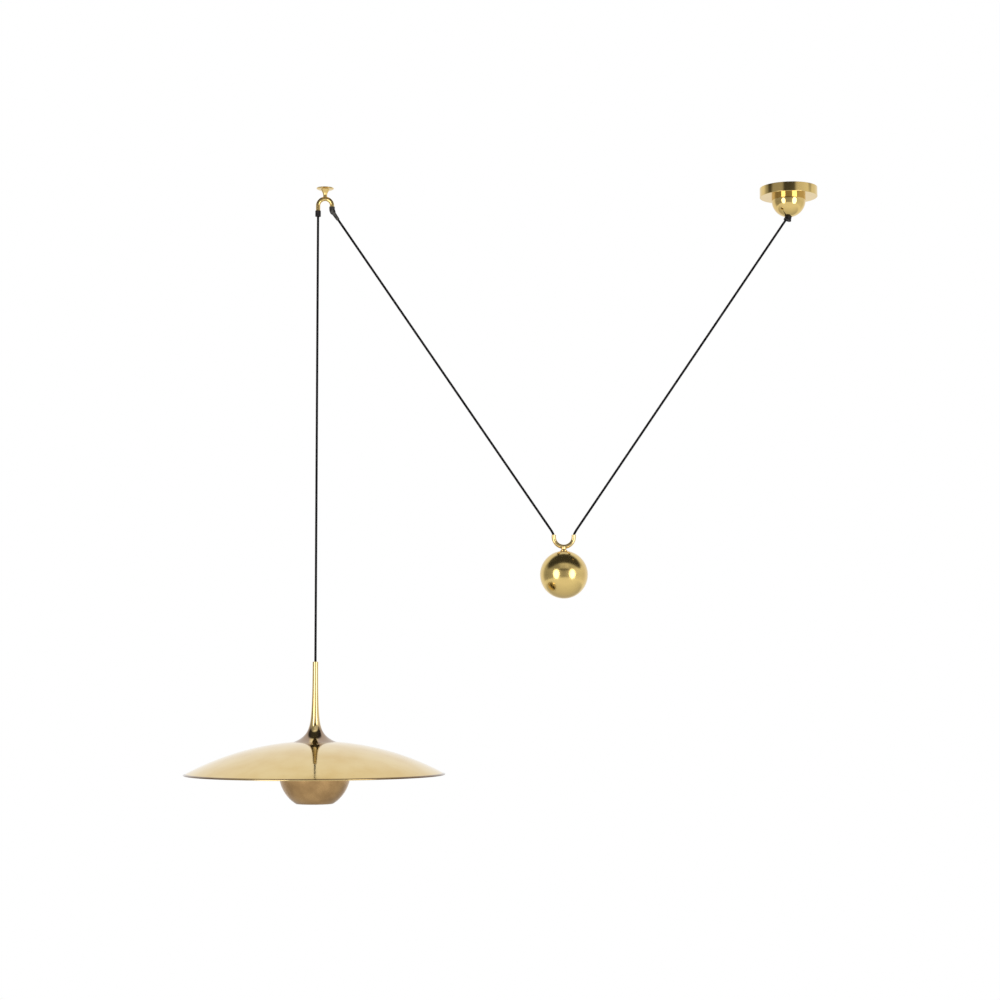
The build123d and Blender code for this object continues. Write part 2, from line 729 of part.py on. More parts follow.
def bowl():
    """Round bowl, open below, with a straight collar above its widest part."""
    inner_r = BOWL_R - BOWL_WALL
    collar_top = BOWL_LIFT + BOWL_COLLAR
    outside = arc(BOWL_LIFT, BOWL_R, 0, -math.degrees(math.asin(BOWL_DEPTH / BOWL_R)))
    inside = arc(BOWL_LIFT, inner_r, -math.degrees(math.asin(BOWL_DEPTH / inner_r)), 0)
    profile = make_face(
        [
            Line((inner_r, collar_top), (BOWL_R, collar_top)),
            Line((BOWL_R, collar_top), outside @ 0),
            outside,
            Line(outside @ 1, inside @ 0),
            inside,
            Line(inside @ 1, (inner_r, collar_top)),
        ]
    )
    lip = outside @ 1
    shell = turned(rounded(profile, (lip.X, lip.Y), BOWL_LIP_R))
    for angle in arm_angles():
        shell -= bowl_screw_place(angle) * Cylinder(BOWL_SCREW_R + FIT, 4 * BOWL_WALL)
    return shell


def bowl_screws():
    """One screw through the collar into each arm."""
    shank = Cylinder(BOWL_SCREW_R, BOWL_SCREW_LENGTH, align=HANGING)
    head = Cylinder(BOWL_SCREW_HEAD_R, BOWL_SCREW_HEAD_T, align=STANDING)
    return Compound(children=[bowl_screw_place(angle) * (shank + head) for angle in arm_angles()])


def lampholder_cap():
    """Cap of the lampholder, screwed on the pipe."""
    bore_r = pipe_r + FIT
    inner_r = HOLDER_R - HOLDER_WALL
    profile = Polygon(
        (bore_r, holder_top),
        (HOLDER_R, holder_top),
        (HOLDER_R, skirt_top),
        (inner_r, skirt_top),
        (inner_r, holder_top - HOLDER_HUB),
        (bore_r, holder_top - HOLDER_HUB),
        align=None,
    )
    return turned(rounded(profile, (HOLDER_R, holder_top), HOLDER_CAP_EDGE_R))


def lampholder_core():
    """Ceramic core that carries the contacts, seated in the skirt."""
    core_r = HOLDER_R - HOLDER_WALL - CORE_ROOM
    core = ring(0, core_r, core_z, core_z + CORE_H)
    return chamfer(core.edges().group_by(Axis.Z)[-1], CORE_EDGE)


def lampholder_skirt():
    """Skirt that takes the bulb's screw cap."""
    inner_r = HOLDER_R - HOLDER_WALL
    return turned(
        Polygon(
            (skirt_bore_r, skirt_mouth),
            (HOLDER_R, skirt_mouth),
            (HOLDER_R, skirt_top),
            (inner_r, skirt_top),
            (inner_r, core_z),
            (skirt_bore_r, core_z),
            align=None,
        )
    )


def lampholder_contact():
    """Centre contact under the core."""
    step_z = core_z - CONTACT_T
    return turned(
        Polygon(
            (0, core_z),
            (CONTACT_R, core_z),
            (CONTACT_R, step_z),
            (CONTACT_TIP_R, step_z),
            (CONTACT_TIP_R, contact_z),
            (0, contact_z),
            align=None,
        )
    )


def bulb_contact():
    """Tip of the bulb, against the centre contact."""
    return turned(
        Polygon(
            (0, bulb_tip_z),
            (BULB_TIP_R, bulb_tip_z),
            (CONTACT_TIP_R, contact_z),
            (0, contact_z),
            align=None,
        )
    )


def bulb_cap():
    """Screw cap of the bulb, with its insulating shoulder."""
    return turned(
        Polygon(
            (0, bulb_cap_z),
            (BULB_CAP_R, bulb_cap_z),
            (BULB_CAP_R, bulb_cap_top),
            (BULB_TIP_R, bulb_tip_z),
            (0, bulb_tip_z),
            align=None,
        )
    )


def bulb_glass():
    """Glass globe with a short neck."""
    inner_r = GLOBE_R - GLOBE_WALL
    neck_in = BULB_NECK_R - GLOBE_WALL
    outside = arc(globe_z, GLOBE_R, angle_at(BULB_NECK_R, GLOBE_R), -90)
    inside = arc(globe_z, inner_r, -90, angle_at(neck_in, inner_r))
    profile = make_face(
        [
            Line((neck_in, bulb_cap_z), (BULB_NECK_R, bulb_cap_z)),
            Line((BULB_NECK_R, bulb_cap_z), outside @ 0),
            outside,
            Line(outside @ 1, inside @ 0),
            inside,
            Line(inside @ 1, (neck_in, bulb_cap_z)),
        ]
    )
    for corner in (outside @ 0, inside @ 1):
        profile = rounded(profile, (corner.X, corner.Y), BULB_FILLET_R)
    return turned(profile)


ceiling_parts = {
    "canopy_bracket": canopy_bracket(),
    "canopy_pipe": canopy_pipe(),
    "canopy_nuts": canopy_nuts(),
    "canopy_pan": canopy_pan(),
    "canopy_dome": canopy_dome(),
    "canopy_cord_grip": canopy_cord_grip(),
    "canopy_cord_stop": canopy_cord_stop(),
    "supply_wires": supply_wires(),
    "terminal_block": terminal_block(),
    "terminal_screws": terminal_screws(),
    "hook_rosette": hook_rosette(),
    "hook_stem": hook_stem(),
    "hook_tube": hook_tube(),
    "hook_sleeve_drop": hook_sleeve_drop(),
    "hook_sleeve_leg": hook_sleeve_leg(),
}
weight_parts = {
    "guide_tube": guide_tube(),
    "weight_neck": weight_neck(),
    "weight_ball": weight_ball(),
}
lamp_parts = {
    "stem_trumpet": stem_trumpet(),
    "stem_bush": stem_bush(),
    "stem_cord_stop": stem_cord_stop(),
    "centre_pipe": centre_pipe(),
    "shade": shade(),
    "shade_washer": shade_washer(),
    "shade_nut": hexagon_nut(shade_nut_z),
    "bowl_carrier": bowl_carrier(),
    "bowl": bowl(),
    "bowl_screws": bowl_screws(),
    "lampholder_cap": lampholder_cap(),
    "lampholder_core": lampholder_core(),
    "lampholder_skirt": lampholder_skirt(),
    "lampholder_contact": lampholder_contact(),
    "bulb_contact": bulb_contact(),
    "bulb_cap": bulb_cap(),
    "bulb_glass": bulb_glass(),
}
cord_routes = {
    "cord_in_canopy": canopy_cord_route,
    "cord_right_leg": right_leg_route,
    "cord_in_guide": guide_cord_route,
    "cord_left_leg": left_leg_route,
    "cord_in_hook": hook_cord_route,
    "cord_drop": drop_route,
    "cord_in_stem": stem_cord_route,
}

nodes = {**ceiling_parts, **weight_parts}
for name, piece in lamp_parts.items():
    nodes[name] = Pos(lamp_x, 0, rim_z) * piece
for name, path in cord_routes.items():
    nodes[name] = rod(path, cord_r)
    radii = [round(edge.radius, 1) for edge in path.edges() if edge.geom_type == GeomType.CIRCLE]
    share = nodes[name].volume / (math.pi * cord_r**2 * path.length)
    print(f"{name}: length {path.length:.1f}, radii {radii}, volume share {share:.4f}")

for name, piece in nodes.items():
    export_step(piece, f"parts/{name}.step")

cord_length = sum(path.length for path in cord_routes.values())
rise_ratio = 1 / (2 * math.cos(math.radians(leg_angle)))
print(f"cord length {cord_length:.0f}, legs {leg_angle:.2f} degrees from vertical")
print(f"the weight moves {rise_ratio:.4f} of the lamp's travel")
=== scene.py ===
"""A rise-and-fall pendant lamp in polished brass, modelled and finished round its measured frame."""

import json
import math

import bmesh
import bpy
from mathutils import Matrix, Vector
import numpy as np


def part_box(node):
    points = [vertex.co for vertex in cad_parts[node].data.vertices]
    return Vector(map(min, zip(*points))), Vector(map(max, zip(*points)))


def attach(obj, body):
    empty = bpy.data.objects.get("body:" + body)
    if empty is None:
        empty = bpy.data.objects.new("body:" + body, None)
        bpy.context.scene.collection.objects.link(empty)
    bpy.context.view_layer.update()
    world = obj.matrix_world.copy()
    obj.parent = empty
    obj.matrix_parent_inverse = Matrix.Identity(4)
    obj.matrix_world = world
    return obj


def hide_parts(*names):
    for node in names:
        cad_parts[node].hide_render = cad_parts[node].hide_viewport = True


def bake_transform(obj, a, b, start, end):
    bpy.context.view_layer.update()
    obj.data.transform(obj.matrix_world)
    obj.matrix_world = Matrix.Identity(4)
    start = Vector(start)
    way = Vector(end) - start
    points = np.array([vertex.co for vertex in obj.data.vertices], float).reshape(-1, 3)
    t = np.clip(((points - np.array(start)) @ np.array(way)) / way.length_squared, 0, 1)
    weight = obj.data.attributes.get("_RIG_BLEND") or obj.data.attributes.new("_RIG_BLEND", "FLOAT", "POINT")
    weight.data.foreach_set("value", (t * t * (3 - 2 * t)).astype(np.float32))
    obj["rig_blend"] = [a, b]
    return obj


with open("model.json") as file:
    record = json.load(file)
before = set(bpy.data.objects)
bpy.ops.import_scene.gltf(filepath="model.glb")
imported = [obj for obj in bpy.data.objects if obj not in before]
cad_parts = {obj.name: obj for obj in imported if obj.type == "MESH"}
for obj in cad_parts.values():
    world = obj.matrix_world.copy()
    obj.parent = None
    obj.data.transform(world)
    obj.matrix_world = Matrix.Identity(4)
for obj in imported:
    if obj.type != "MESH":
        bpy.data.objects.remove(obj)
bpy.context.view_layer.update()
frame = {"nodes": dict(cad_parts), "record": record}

bl_info = {
    "name": "Rise-and-fall pendant lamp",
    "version": (1, 0, 0),
    "blender": (4, 5, 0),
    "location": "View3D > Sidebar > Lamp",
    "description": "Models and finishes a counterweighted brass pendant lamp round its measured frame",
    "category": "Object",
}

# What the frame says of each node: the body that carries it
BODY_OF = {
    node: body for body, nodes in frame["record"]["behaviour"]["bodies"].items() for node in nodes
}


def axis_of(node):
    """Place along X of the upright axis of a node."""
    low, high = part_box(node)
    return (low.x + high.x) / 2


def top_of(node):
    """Height of a node's highest point."""
    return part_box(node)[1].z


def foot_of(node):
    """Height of a node's lowest point."""
    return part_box(node)[0].z


# Upright axes of the four turned groups
CANOPY_X = axis_of("canopy_pan")
HOOK_X = axis_of("hook_rosette")
WEIGHT_X = axis_of("guide_tube")
LAMP_X = axis_of("shade")

MM = 0.001
FIT = 0.05 * MM  # radial gap of a screwed, soldered or crimped fit
SEED = 1 * MM  # plane that shrinks to an outline's first point
MERGE = 0.02 * MM  # points closer than this are one
SHARP = math.radians(32)  # a steeper fold shows as an edge
EASED = math.radians(40)  # a steeper fold is eased on a piece that has an easing


def linear(code):
    """An sRGB hex colour as linear red, green and blue."""
    parts = [int(code[i : i + 2], 16) / 255 for i in (1, 3, 5)]
    return [p / 12.92 if p <= 0.04045 else ((p + 0.055) / 1.055) ** 2.4 for p in parts]


def length(name, description, millimetres):
    """A size that a user can change."""
    return bpy.props.FloatProperty(
        name=name, description=description, default=millimetres * MM, unit="LENGTH", precision=5
    )


def angle(name, description, degrees):
    """An angle that a user can change."""
    return bpy.props.FloatProperty(
        name=name, description=description, default=math.radians(degrees), unit="ROTATION"
    )


def tint(name, description, code):
    """A colour that a user can change."""
    return bpy.props.FloatVectorProperty(
        name=name, description=description, default=linear(code), subtype="COLOR", min=0, max=1
    )


class PENDANT_PG_sizes(bpy.types.PropertyGroup):
    """Sizes of the pieces that the boxes of the frame's nodes don't give."""

    fine_edge: length("Fine edge", "Easing of the pan, the rosette and the skirt's rings", 0.15)
    turned_edge: length("Turned edge", "Easing of the stem and the hook's tube", 0.2)
    moulded_edge: length("Moulded edge", "Easing of the bush, the lampholder's cap and the bowl", 0.3)
    cord_r: length("Cord radius", "Radius of the textile cord", 2.5)
    wire_r: length("Wire radius", "Radius of a supply wire", 0.8)
    sleeve_bore: length("Sleeve bore", "Bore of grips, sleeves and bushes round the cord", 2.8)
    bend_r: length("Cord bend", "Bend of the cord where a slanted leg leaves a tube", 15)
    leg_angle: angle("Leg angle", "Slope of the cord's two legs from the vertical", 34.2)
    tube_r: length("Tube radius", "Outer radius of the two bent tubes", 4.7)
    tube_wall: length("Tube wall", "Wall of the two bent tubes", 1.4)
    mouth_edge: length("Mouth edge", "Easing of the guide's mouths", 0.3)
    hook_r: length("Hook arch", "Centre line radius of the hook's arch", 15)
    hook_short: length("Hook short end", "Straight end of the hook on the weight's side", 5.5)
    hook_bend: length("Hook bend", "Corner of the cord below the hook's short end", 5.7)
    sleeve_lap: length("Sleeve lap", "Grip of a sleeve on the tube", 3)
    sleeve_wall: length("Sleeve wall", "Wall of a sleeve over the tube", 1.3)
    sleeve_edge: length("Sleeve edge", "Rounding of a sleeve's ends", 0.7)
    sleeve_ease: length("Sleeve easing", "Easing of the bent sleeve's ends", 0.35)
    sleeve_body: length("Sleeve body", "Shoulder of the bent sleeve after its bend", 3)
    sleeve_waist_r: length("Sleeve waist", "Outer radius where the tail begins", 4.4)
    sleeve_tail: length("Sleeve tail", "Slim end of the bent sleeve", 16)
    sleeve_tail_r: length("Sleeve tail end", "Outer radius at the end of the tail", 3.6)
    rosette_r: length("Rosette radius", "Radius of the hook's rosette", 18.5)
    rosette_edge: length("Rosette edge", "Upright edge of the rosette", 1)
    rosette_bevel: length("Rosette bevel", "Width of the rosette's bevel", 2.5)
    spigot_r: length("Spigot", "Radius of the hook stem's spigot", 5)
    stud_r: length("Stud", "Radius of the thread for the ceiling stud", 2.5)
    stud_depth: length("Stud depth", "Depth of the thread for the ceiling stud", 12)
    hook_top_r: length("Hook stem top", "Radius of the hook's stem under the rosette", 9.5)
    hook_waist_r: length("Hook stem waist", "Radius of the hook's stem above the tube", 4.3)
    hook_cone: length("Hook stem cone", "Height of the tapered part", 10)
    hook_blend: length("Hook stem blend", "Blend of the taper into the waist", 12)
    guide_r: length("Guide arch", "Centre line radius of the weight's guide", 21.3)
    neck_r: length("Neck radius", "Radius of the weight's neck", 5.2)
    neck_foot_r: length("Neck foot", "Radius of the neck's foot on the ball", 8.5)
    neck_foot_t: length("Neck foot edge", "Upright edge of the neck's foot", 0.8)
    neck_flare: length("Neck flare", "Height of the neck's flare", 2.4)
    neck_blend: length("Neck blend", "Blend of the flare into the neck", 2)
    neck_height: length("Neck height", "Ball to guide", 4.5)
    ball_r: length("Ball radius", "Radius of the counterweight", 50.9)
    pipe_r: length("Pipe radius", "Outer radius of the threaded pipes", 5)
    pan_r: length("Pan radius", "Radius of the canopy's pan", 62)
    pan_wall: length("Pan wall", "Wall of the pan and the dome", 1)
    pan_edge: length("Pan edge", "Rounding of the pan's lower edge", 0.8)
    dome_r: length("Dome radius", "Radius of the canopy's dome", 36.4)
    dome_neck: length("Dome neck", "Straight part between pan and half ball", 7)
    dome_hole: length("Dome hole", "Hole in the dome for the cord grip", 7.15)
    seam: length("Dome seam", "Groove where the half ball meets its neck", 0.35)
    grip_root: length("Grip root", "Radius of the grip under the dome", 6.6)
    grip_mouth: length("Grip mouth", "Radius of the grip at its mouth", 8.4)
    grip_length: length("Grip length", "Length of the grip's nose", 12)
    grip_round: length("Grip round", "Rounding of the grip's mouth", 0.8)
    grip_lip: length("Grip lip", "Height of the lip at the grip's mouth", 2.4)
    grip_lip_step: length("Grip lip step", "How far the nose steps back behind its lip", 0.7)
    grip_lip_fall: length("Grip lip fall", "Height in which the nose steps back", 0.6)
    grip_hub: length("Grip hub", "Reach of the grip's hub below the turning point", 2)
    grip_rise: length("Grip rise", "Turning point of the nose above the dome's foot", 3.5)
    grip_tilt: angle("Grip tilt", "How far the cord pulls the nose to one side", 18)
    stem_neck: length("Stem neck", "Radius that the stem narrows to", 5.6)
    flare_r: length("Flare", "How far the stem's foot flares out", 31)
    flare_fall: length("Flare fall", "Height in which the flare falls off", 13)
    waist_r: length("Waist", "How far the stem's waist swells", 8.7)
    waist_fall: length("Waist fall", "Height in which the waist falls off", 45)
    flare_wall: length("Flare wall", "Wall over the hollow of the flare", 1.4)
    flare_hollow: length("Flare hollow", "Height of the hollow under the flare", 16)
    stem_bore: length("Stem bore", "Bore of the stem", 3.5)
    stem_shoulder: length("Stem shoulder", "Height of the shoulder inside the stem", 45)
    bush_wall: length("Bush wall", "Wall of the bush in the stem's top", 1.4)
    bush_length: length("Bush length", "Length of the bush in the stem's top", 8)
    rim_r: length("Rim radius", "Radius of the shade's rim", 275)
    rise: length("Shade rise", "Height of the shade's sweep at its axis", 70)
    shade_wall: length("Shade wall", "Wall of the shade", 0.9)
    seat_r: length("Shade seat", "Radius of the flat seat under the stem", 46.3)
    bead_r: length("Rim bead", "Radius of the rolled rim", 1.2)
    bowl_r: length("Bowl radius", "Outer radius of the bowl", 75)
    bowl_wall: length("Bowl wall", "Wall of the bowl", 1)
    bowl_depth: length("Bowl depth", "Widest part to the mouth", 64)
    bowl_collar: length("Bowl collar", "Straight part above the widest part", 9)
    bowl_lift: length("Bowl lift", "Widest part above the shade's rim", 3)
    screw_rise: length("Screw rise", "Bowl screws above the widest part", 5)
    screw_head: length("Screw head", "Radius of a bowl screw's head", 2.8)
    screw_head_t: length("Screw head height", "Height of a bowl screw's head", 1.8)
    screw_round: length("Screw round", "Rounding of a bowl screw's head", 0.9)
    screw_shank: length("Screw shank", "Radius of a bowl screw's shank", 1.5)
    screw_length: length("Screw length", "Length of a bowl screw's shank", 6)
    screw_slot: length("Screw slot", "Width of a screw's slot", 0.8)
    holder_r: length("Holder radius", "Radius of the lampholder", 18)
    holder_wall: length("Holder wall", "Wall of the lampholder", 2)
    holder_edge: length("Holder edge", "Rounding of the lampholder's cap", 4)
    holder_hub: length("Holder hub", "Thread of the cap on the pipe", 5)
    rib: length("Rib", "Depth of the lampholder's grip rings", 0.6)
    bulb_cap_r: length("Bulb cap radius", "Radius of the bulb's screw cap", 13)
    globe_r: length("Globe radius", "Radius of the bulb's globe", 22.5)
    globe_wall: length("Globe wall", "Wall of the bulb's globe", 0.8)
    globe_neck: length("Globe neck", "Radius of the bulb's neck", 12.5)
    globe_blend: length("Globe blend", "Blend of the neck into the globe", 6)


class PENDANT_PG_colours(bpy.types.PropertyGroup):
    """Colours of the finishes."""

    brass: tint("Brass", "Polished brass of the shade", "#DFC78F")
    deep_brass: tint("Deep brass", "Polished brass of the ceiling fittings and the weight", "#DDC27B")
    brass_warm: tint("Warm brass", "Slightly tarnished patches of the polish", "#D6B878")
    # Colour of the painted shade on the rim's roll and in its crease
    painted_shade: tint("Tarnish", "Old polish in the roll of the rim", "#6B4E2A")
    # Colour of the painted shade on the stem's flare
    painted_flare_shade: tint("Patina", "Brown tarnish on the flare of the stem", "#A08A76")
    satin: tint("Satin brass", "Satin brass of the bowl", "#B69364")
    satin_dark: tint("Dark satin brass", "Mottled patches on the bowl", "#9D7D54")
    turned: tint("Turned brass", "Turned brass without polish", "#CBAE70")
    turned_dark: tint("Dull turned brass", "Dull patches on the turned brass", "#A98B50")
    zinc: tint("Zinc", "Zinc plated steel", "#C6C8C4")
    zinc_dark: tint("Dark zinc", "Duller spangles of the zinc", "#979B9B")
    cord: tint("Cord", "Black textile", "#060506")
    cord_light: tint("Light cord", "Raised yarns of the textile", "#121013")
    rubber: tint("Rubber", "Black rubber", "#0B0808")
    rubber_grey: tint("Worn rubber", "Chalky marks on the rubber", "#2B2526")
    rubber_bloom: tint("Bloomed rubber", "Grey bloom on the bent sleeve", "#5A5854")
    phenolic: tint("Phenolic", "Black lampholder", "#141312")
    phenolic_brown: tint("Brown phenolic", "Brown flow marks of the moulding", "#2A1D16")
    steatite: tint("Steatite", "Ceramic of the block and the core", "#EDE8DA")
    steatite_grey: tint("Grey steatite", "Speckles of the ceramic", "#CFC9BA")
    live: tint("Live wire", "Insulation of the live wire", "#6B3A22")
    neutral: tint("Neutral wire", "Insulation of the neutral wire", "#2F5C9A")
    aluminium: tint("Aluminium", "Screw cap of the bulb", "#D9DADB")
    aluminium_dull: tint("Dull aluminium", "Dull patches on the cap", "#B4B7BA")
    glass: tint("Glass", "Frosted glass of the bulb", "#F7F4EC")
    floor: tint("Floor", "Plain pale floor", "#F2F0EC")


class PENDANT_PG_view(bpy.types.PropertyGroup):
    """Camera and light."""

    focal: bpy.props.FloatProperty(
        name="Focal length", description="Lens of the camera", default=74.55, unit="CAMERA"
    )
    place: bpy.props.FloatVectorProperty(
        name="Camera place",
        description="Where the camera stands",
        default=(-0.657, -4.4, -1.0672),
        subtype="TRANSLATION",
        unit="LENGTH",
    )
    pitch: angle("Pitch", "How far the camera looks up", 5.073)
    roll: angle("Roll", "Tilt of the picture", 0.114)
    yaw: angle("Yaw", "How far the camera looks to the left", -0.399)
    floor: length("Floor", "Depth of the floor below the ceiling", 2450)
    floor_r: length("Floor radius", "Reach of the floor", 4000)
    ambient: bpy.props.FloatProperty(
        name="Ambient", description="Soft light from all round", default=0.5, min=0
    )
    softbox_power: bpy.props.FloatProperty(
        name="Softbox power", description="Power of each softbox", default=45, unit="POWER"
    )


def sizes_of(context):
    """The sizes set in the scene."""
    return context.scene.pendant_sizes


def tints_of(context):
    """The colours set in the scene."""
    return context.scene.pendant_colours


# Finishes


def add_node(tree, kind, inputs=None, **settings):
    """Add a node with its settings, and set or link its inputs."""
    node = tree.nodes.new(kind)
    for name, value in settings.items():
        setattr(node, name, value)
    for name, value in (inputs or {}).items():
        if isinstance(value, bpy.types.NodeSocket):
            tree.links.new(value, node.inputs[name])
        else:
            node.inputs[name].default_value = value
    return node


def start_finish(name):
    """An empty node material and its tree."""
    material = bpy.data.materials.new(name)
    material.use_nodes = True
    material.node_tree.nodes.clear()
    return material, material.node_tree


def polished_brass(context, name, axis_x, brightest, haze, painted_shade, painted_shade_r, relief=0):
    """Brass, spun or turned and then buffed, with painted shade on a rim's roll or a foot's flare. The haze
    is its least and most roughness.
    """
    # A mirror with fine rings round the piece's axis and slightly warmer, softer clouds of old polish
    ring = 2 * MM  # width of a buffing ring
    cloud = 70 * MM  # size of a cloud of old polish
    tints = tints_of(context)
    material, tree = start_finish(name)
    place = add_node(tree, "ShaderNodeTexCoord")
    centred = add_node(
        tree, "ShaderNodeMapping", {"Vector": place.outputs["Object"], "Location": (-axis_x, 0, 0)}
    )
    split = add_node(tree, "ShaderNodeSeparateXYZ", {"Vector": centred.outputs[0]})
    flat = add_node(tree, "ShaderNodeCombineXYZ", {"X": split.outputs["X"], "Y": split.outputs["Y"]})
    radius = add_node(tree, "ShaderNodeVectorMath", {0: flat.outputs[0]}, operation="LENGTH")
    section = add_node(
        tree, "ShaderNodeCombineXYZ", {"X": radius.outputs["Value"], "Y": split.outputs["Z"]}
    )
    rings = add_node(
        tree, "ShaderNodeTexNoise", {"Vector": section.outputs[0], "Scale": 1 / ring, "Detail": 2}
    )
    clouds = add_node(
        tree, "ShaderNodeTexNoise", {"Vector": centred.outputs[0], "Scale": 1 / cloud, "Detail": 4}
    )
    tone = add_node(
        tree, "ShaderNodeMapRange", {"Value": clouds.outputs["Fac"], "From Min": 0.35, "From Max": 0.7}
    )
    brass = add_node(
        tree,
        "ShaderNodeMix",
        {"Factor": tone.outputs[0], "A": (*brightest, 1), "B": (*tints.brass_warm, 1)},
        data_type="RGBA",
    )
    # Painted shade: a rim's roll and a foot's flare are darkened at the left and right sides, with a painted
    # highlight left bright at the front and the back, and a painted dark line in the crease beside the roll
    begin_r, full_r, shaded_crease_r = painted_shade_r
    # The painted highlight spans this far to each side of the axis, and the painted shade is full from the
    # next distance on
    highlight_half_width = 0.3 * full_r  # bright this far to each side of the axis
    shade_from = 0.7 * full_r  # dark from here on
    edge = add_node(
        tree,
        "ShaderNodeMapRange",
        {"Value": radius.outputs["Value"], "From Min": begin_r, "From Max": full_r},
    )
    across = add_node(tree, "ShaderNodeMath", {0: split.outputs["X"]}, operation="ABSOLUTE")
    side_shade = add_node(
        tree,
        "ShaderNodeMapRange",
        {"Value": across.outputs[0], "From Min": highlight_half_width, "From Max": shade_from},
    )
    # Painted dark line in the crease beside the roll, all the way round
    crease_shade = add_node(
        tree, "ShaderNodeMath", {0: radius.outputs["Value"], 1: shaded_crease_r}, operation="LESS_THAN"
    )
    left = add_node(
        tree, "ShaderNodeMath", {0: side_shade.outputs[0], 1: crease_shade.outputs[0]}, operation="MAXIMUM"
    )
    dark = add_node(
        tree, "ShaderNodeMath", {0: edge.outputs[0], 1: left.outputs[0]}, operation="MULTIPLY"
    )
    metal = add_node(
        tree,
        "ShaderNodeMix",
        {"Factor": dark.outputs[0], "A": brass.outputs["Result"], "B": (*painted_shade, 1)},
        data_type="RGBA",
    )
    dull = add_node(
        tree, "ShaderNodeMath", {0: rings.outputs["Fac"], 1: clouds.outputs["Fac"]}, operation="MULTIPLY"
    )
    roughness = add_node(
        tree,
        "ShaderNodeMapRange",
        {
            "Value": dull.outputs[0],
            "From Min": 0.1,
            "From Max": 0.5,
            "To Min": haze[0],
            "To Max": haze[1],
        },
    )
    normal = add_node(
        tree, "ShaderNodeBump", {"Height": rings.outputs["Fac"], "Strength": relief, "Distance": 0.1 * MM}
    )
    shader = add_node(
        tree,
        "ShaderNodeBsdfPrincipled",
        {
            "Base Color": metal.outputs["Result"],
            "Metallic": 1,
            "Roughness": roughness.outputs[0],
            "Normal": normal.outputs[0],
        },
    )
    add_node(tree, "ShaderNodeOutputMaterial", {"Surface": shader.outputs[0]})
    return material


def clouded(name, tones, patch, roughness, grain, depth, more):
    """A finish of two mingled tones with a fine grain. Patch, grain and depth are in millimetres."""
    material, tree = start_finish(name)
    place = add_node(tree, "ShaderNodeTexCoord")
    patches = add_node(
        tree,
        "ShaderNodeTexNoise",
        {"Vector": place.outputs["Object"], "Scale": 1 / (patch * MM), "Detail": 4},
    )
    fine = add_node(
        tree,
        "ShaderNodeTexNoise",
        {"Vector": place.outputs["Object"], "Scale": 1 / (grain * MM), "Detail": 2},
    )
    tone = add_node(
        tree, "ShaderNodeMapRange", {"Value": patches.outputs["Fac"], "From Min": 0.38, "From Max": 0.66}
    )
    colour = add_node(
        tree,
        "ShaderNodeMix",
        {"Factor": tone.outputs[0], "A": (*tones[0], 1), "B": (*tones[1], 1)},
        data_type="RGBA",
    )
    dull = add_node(
        tree,
        "ShaderNodeMapRange",
        {
            "Value": patches.outputs["Fac"],
            "From Min": 0.3,
            "From Max": 0.7,
            "To Min": roughness * 0.8,
            "To Max": roughness * 1.25,
        },
    )
    normal = add_node(
        tree, "ShaderNodeBump", {"Height": fine.outputs["Fac"], "Strength": 0.3, "Distance": depth * MM}
    )
    shader = add_node(
        tree,
        "ShaderNodeBsdfPrincipled",
        {
            "Base Color": colour.outputs["Result"],
            "Roughness": dull.outputs[0],
            "Normal": normal.outputs[0],
            **more,
        },
    )
    add_node(tree, "ShaderNodeOutputMaterial", {"Surface": shader.outputs[0]})
    return material


def braided_textile(context, name):
    """Rayon braid over a round cord."""
    # Two sets of yarns cross round the cord: soft black with a slight sheen on the raised yarns
    tints = tints_of(context)
    yarns = 8  # round the cord each way, about 2 mm wide, coarser than real so that they show
    material, tree = start_finish(name)
    wrap = add_node(tree, "ShaderNodeUVMap", uv_map="wrap")
    waves = []
    for hand in (1, -1):
        slope = (math.tau * yarns, hand * math.tau * yarns, 0)
        phase = add_node(
            tree, "ShaderNodeVectorMath", {0: wrap.outputs[0], 1: slope}, operation="DOT_PRODUCT"
        )
        waves.append(add_node(tree, "ShaderNodeMath", {0: phase.outputs["Value"]}, operation="SINE"))
    yarn = add_node(
        tree, "ShaderNodeMath", {0: waves[0].outputs[0], 1: waves[1].outputs[0]}, operation="MAXIMUM"
    )
    raised = add_node(
        tree, "ShaderNodeMapRange", {"Value": yarn.outputs[0], "From Min": -0.6, "From Max": 1.0}
    )
    colour = add_node(
        tree,
        "ShaderNodeMix",
        {"Factor": raised.outputs[0], "A": (*tints.cord, 1), "B": (*tints.cord_light, 1)},
        data_type="RGBA",
    )
    normal = add_node(
        tree, "ShaderNodeBump", {"Height": raised.outputs[0], "Strength": 0.4, "Distance": 0.2 * MM}
    )
    shader = add_node(
        tree,
        "ShaderNodeBsdfPrincipled",
        {
            "Base Color": colour.outputs["Result"],
            "Roughness": 0.75,
            "Specular IOR Level": 0.12,
            "Sheen Weight": 0.03,
            "Normal": normal.outputs[0],
        },
    )
    add_node(tree, "ShaderNodeOutputMaterial", {"Surface": shader.outputs[0]})
    return material


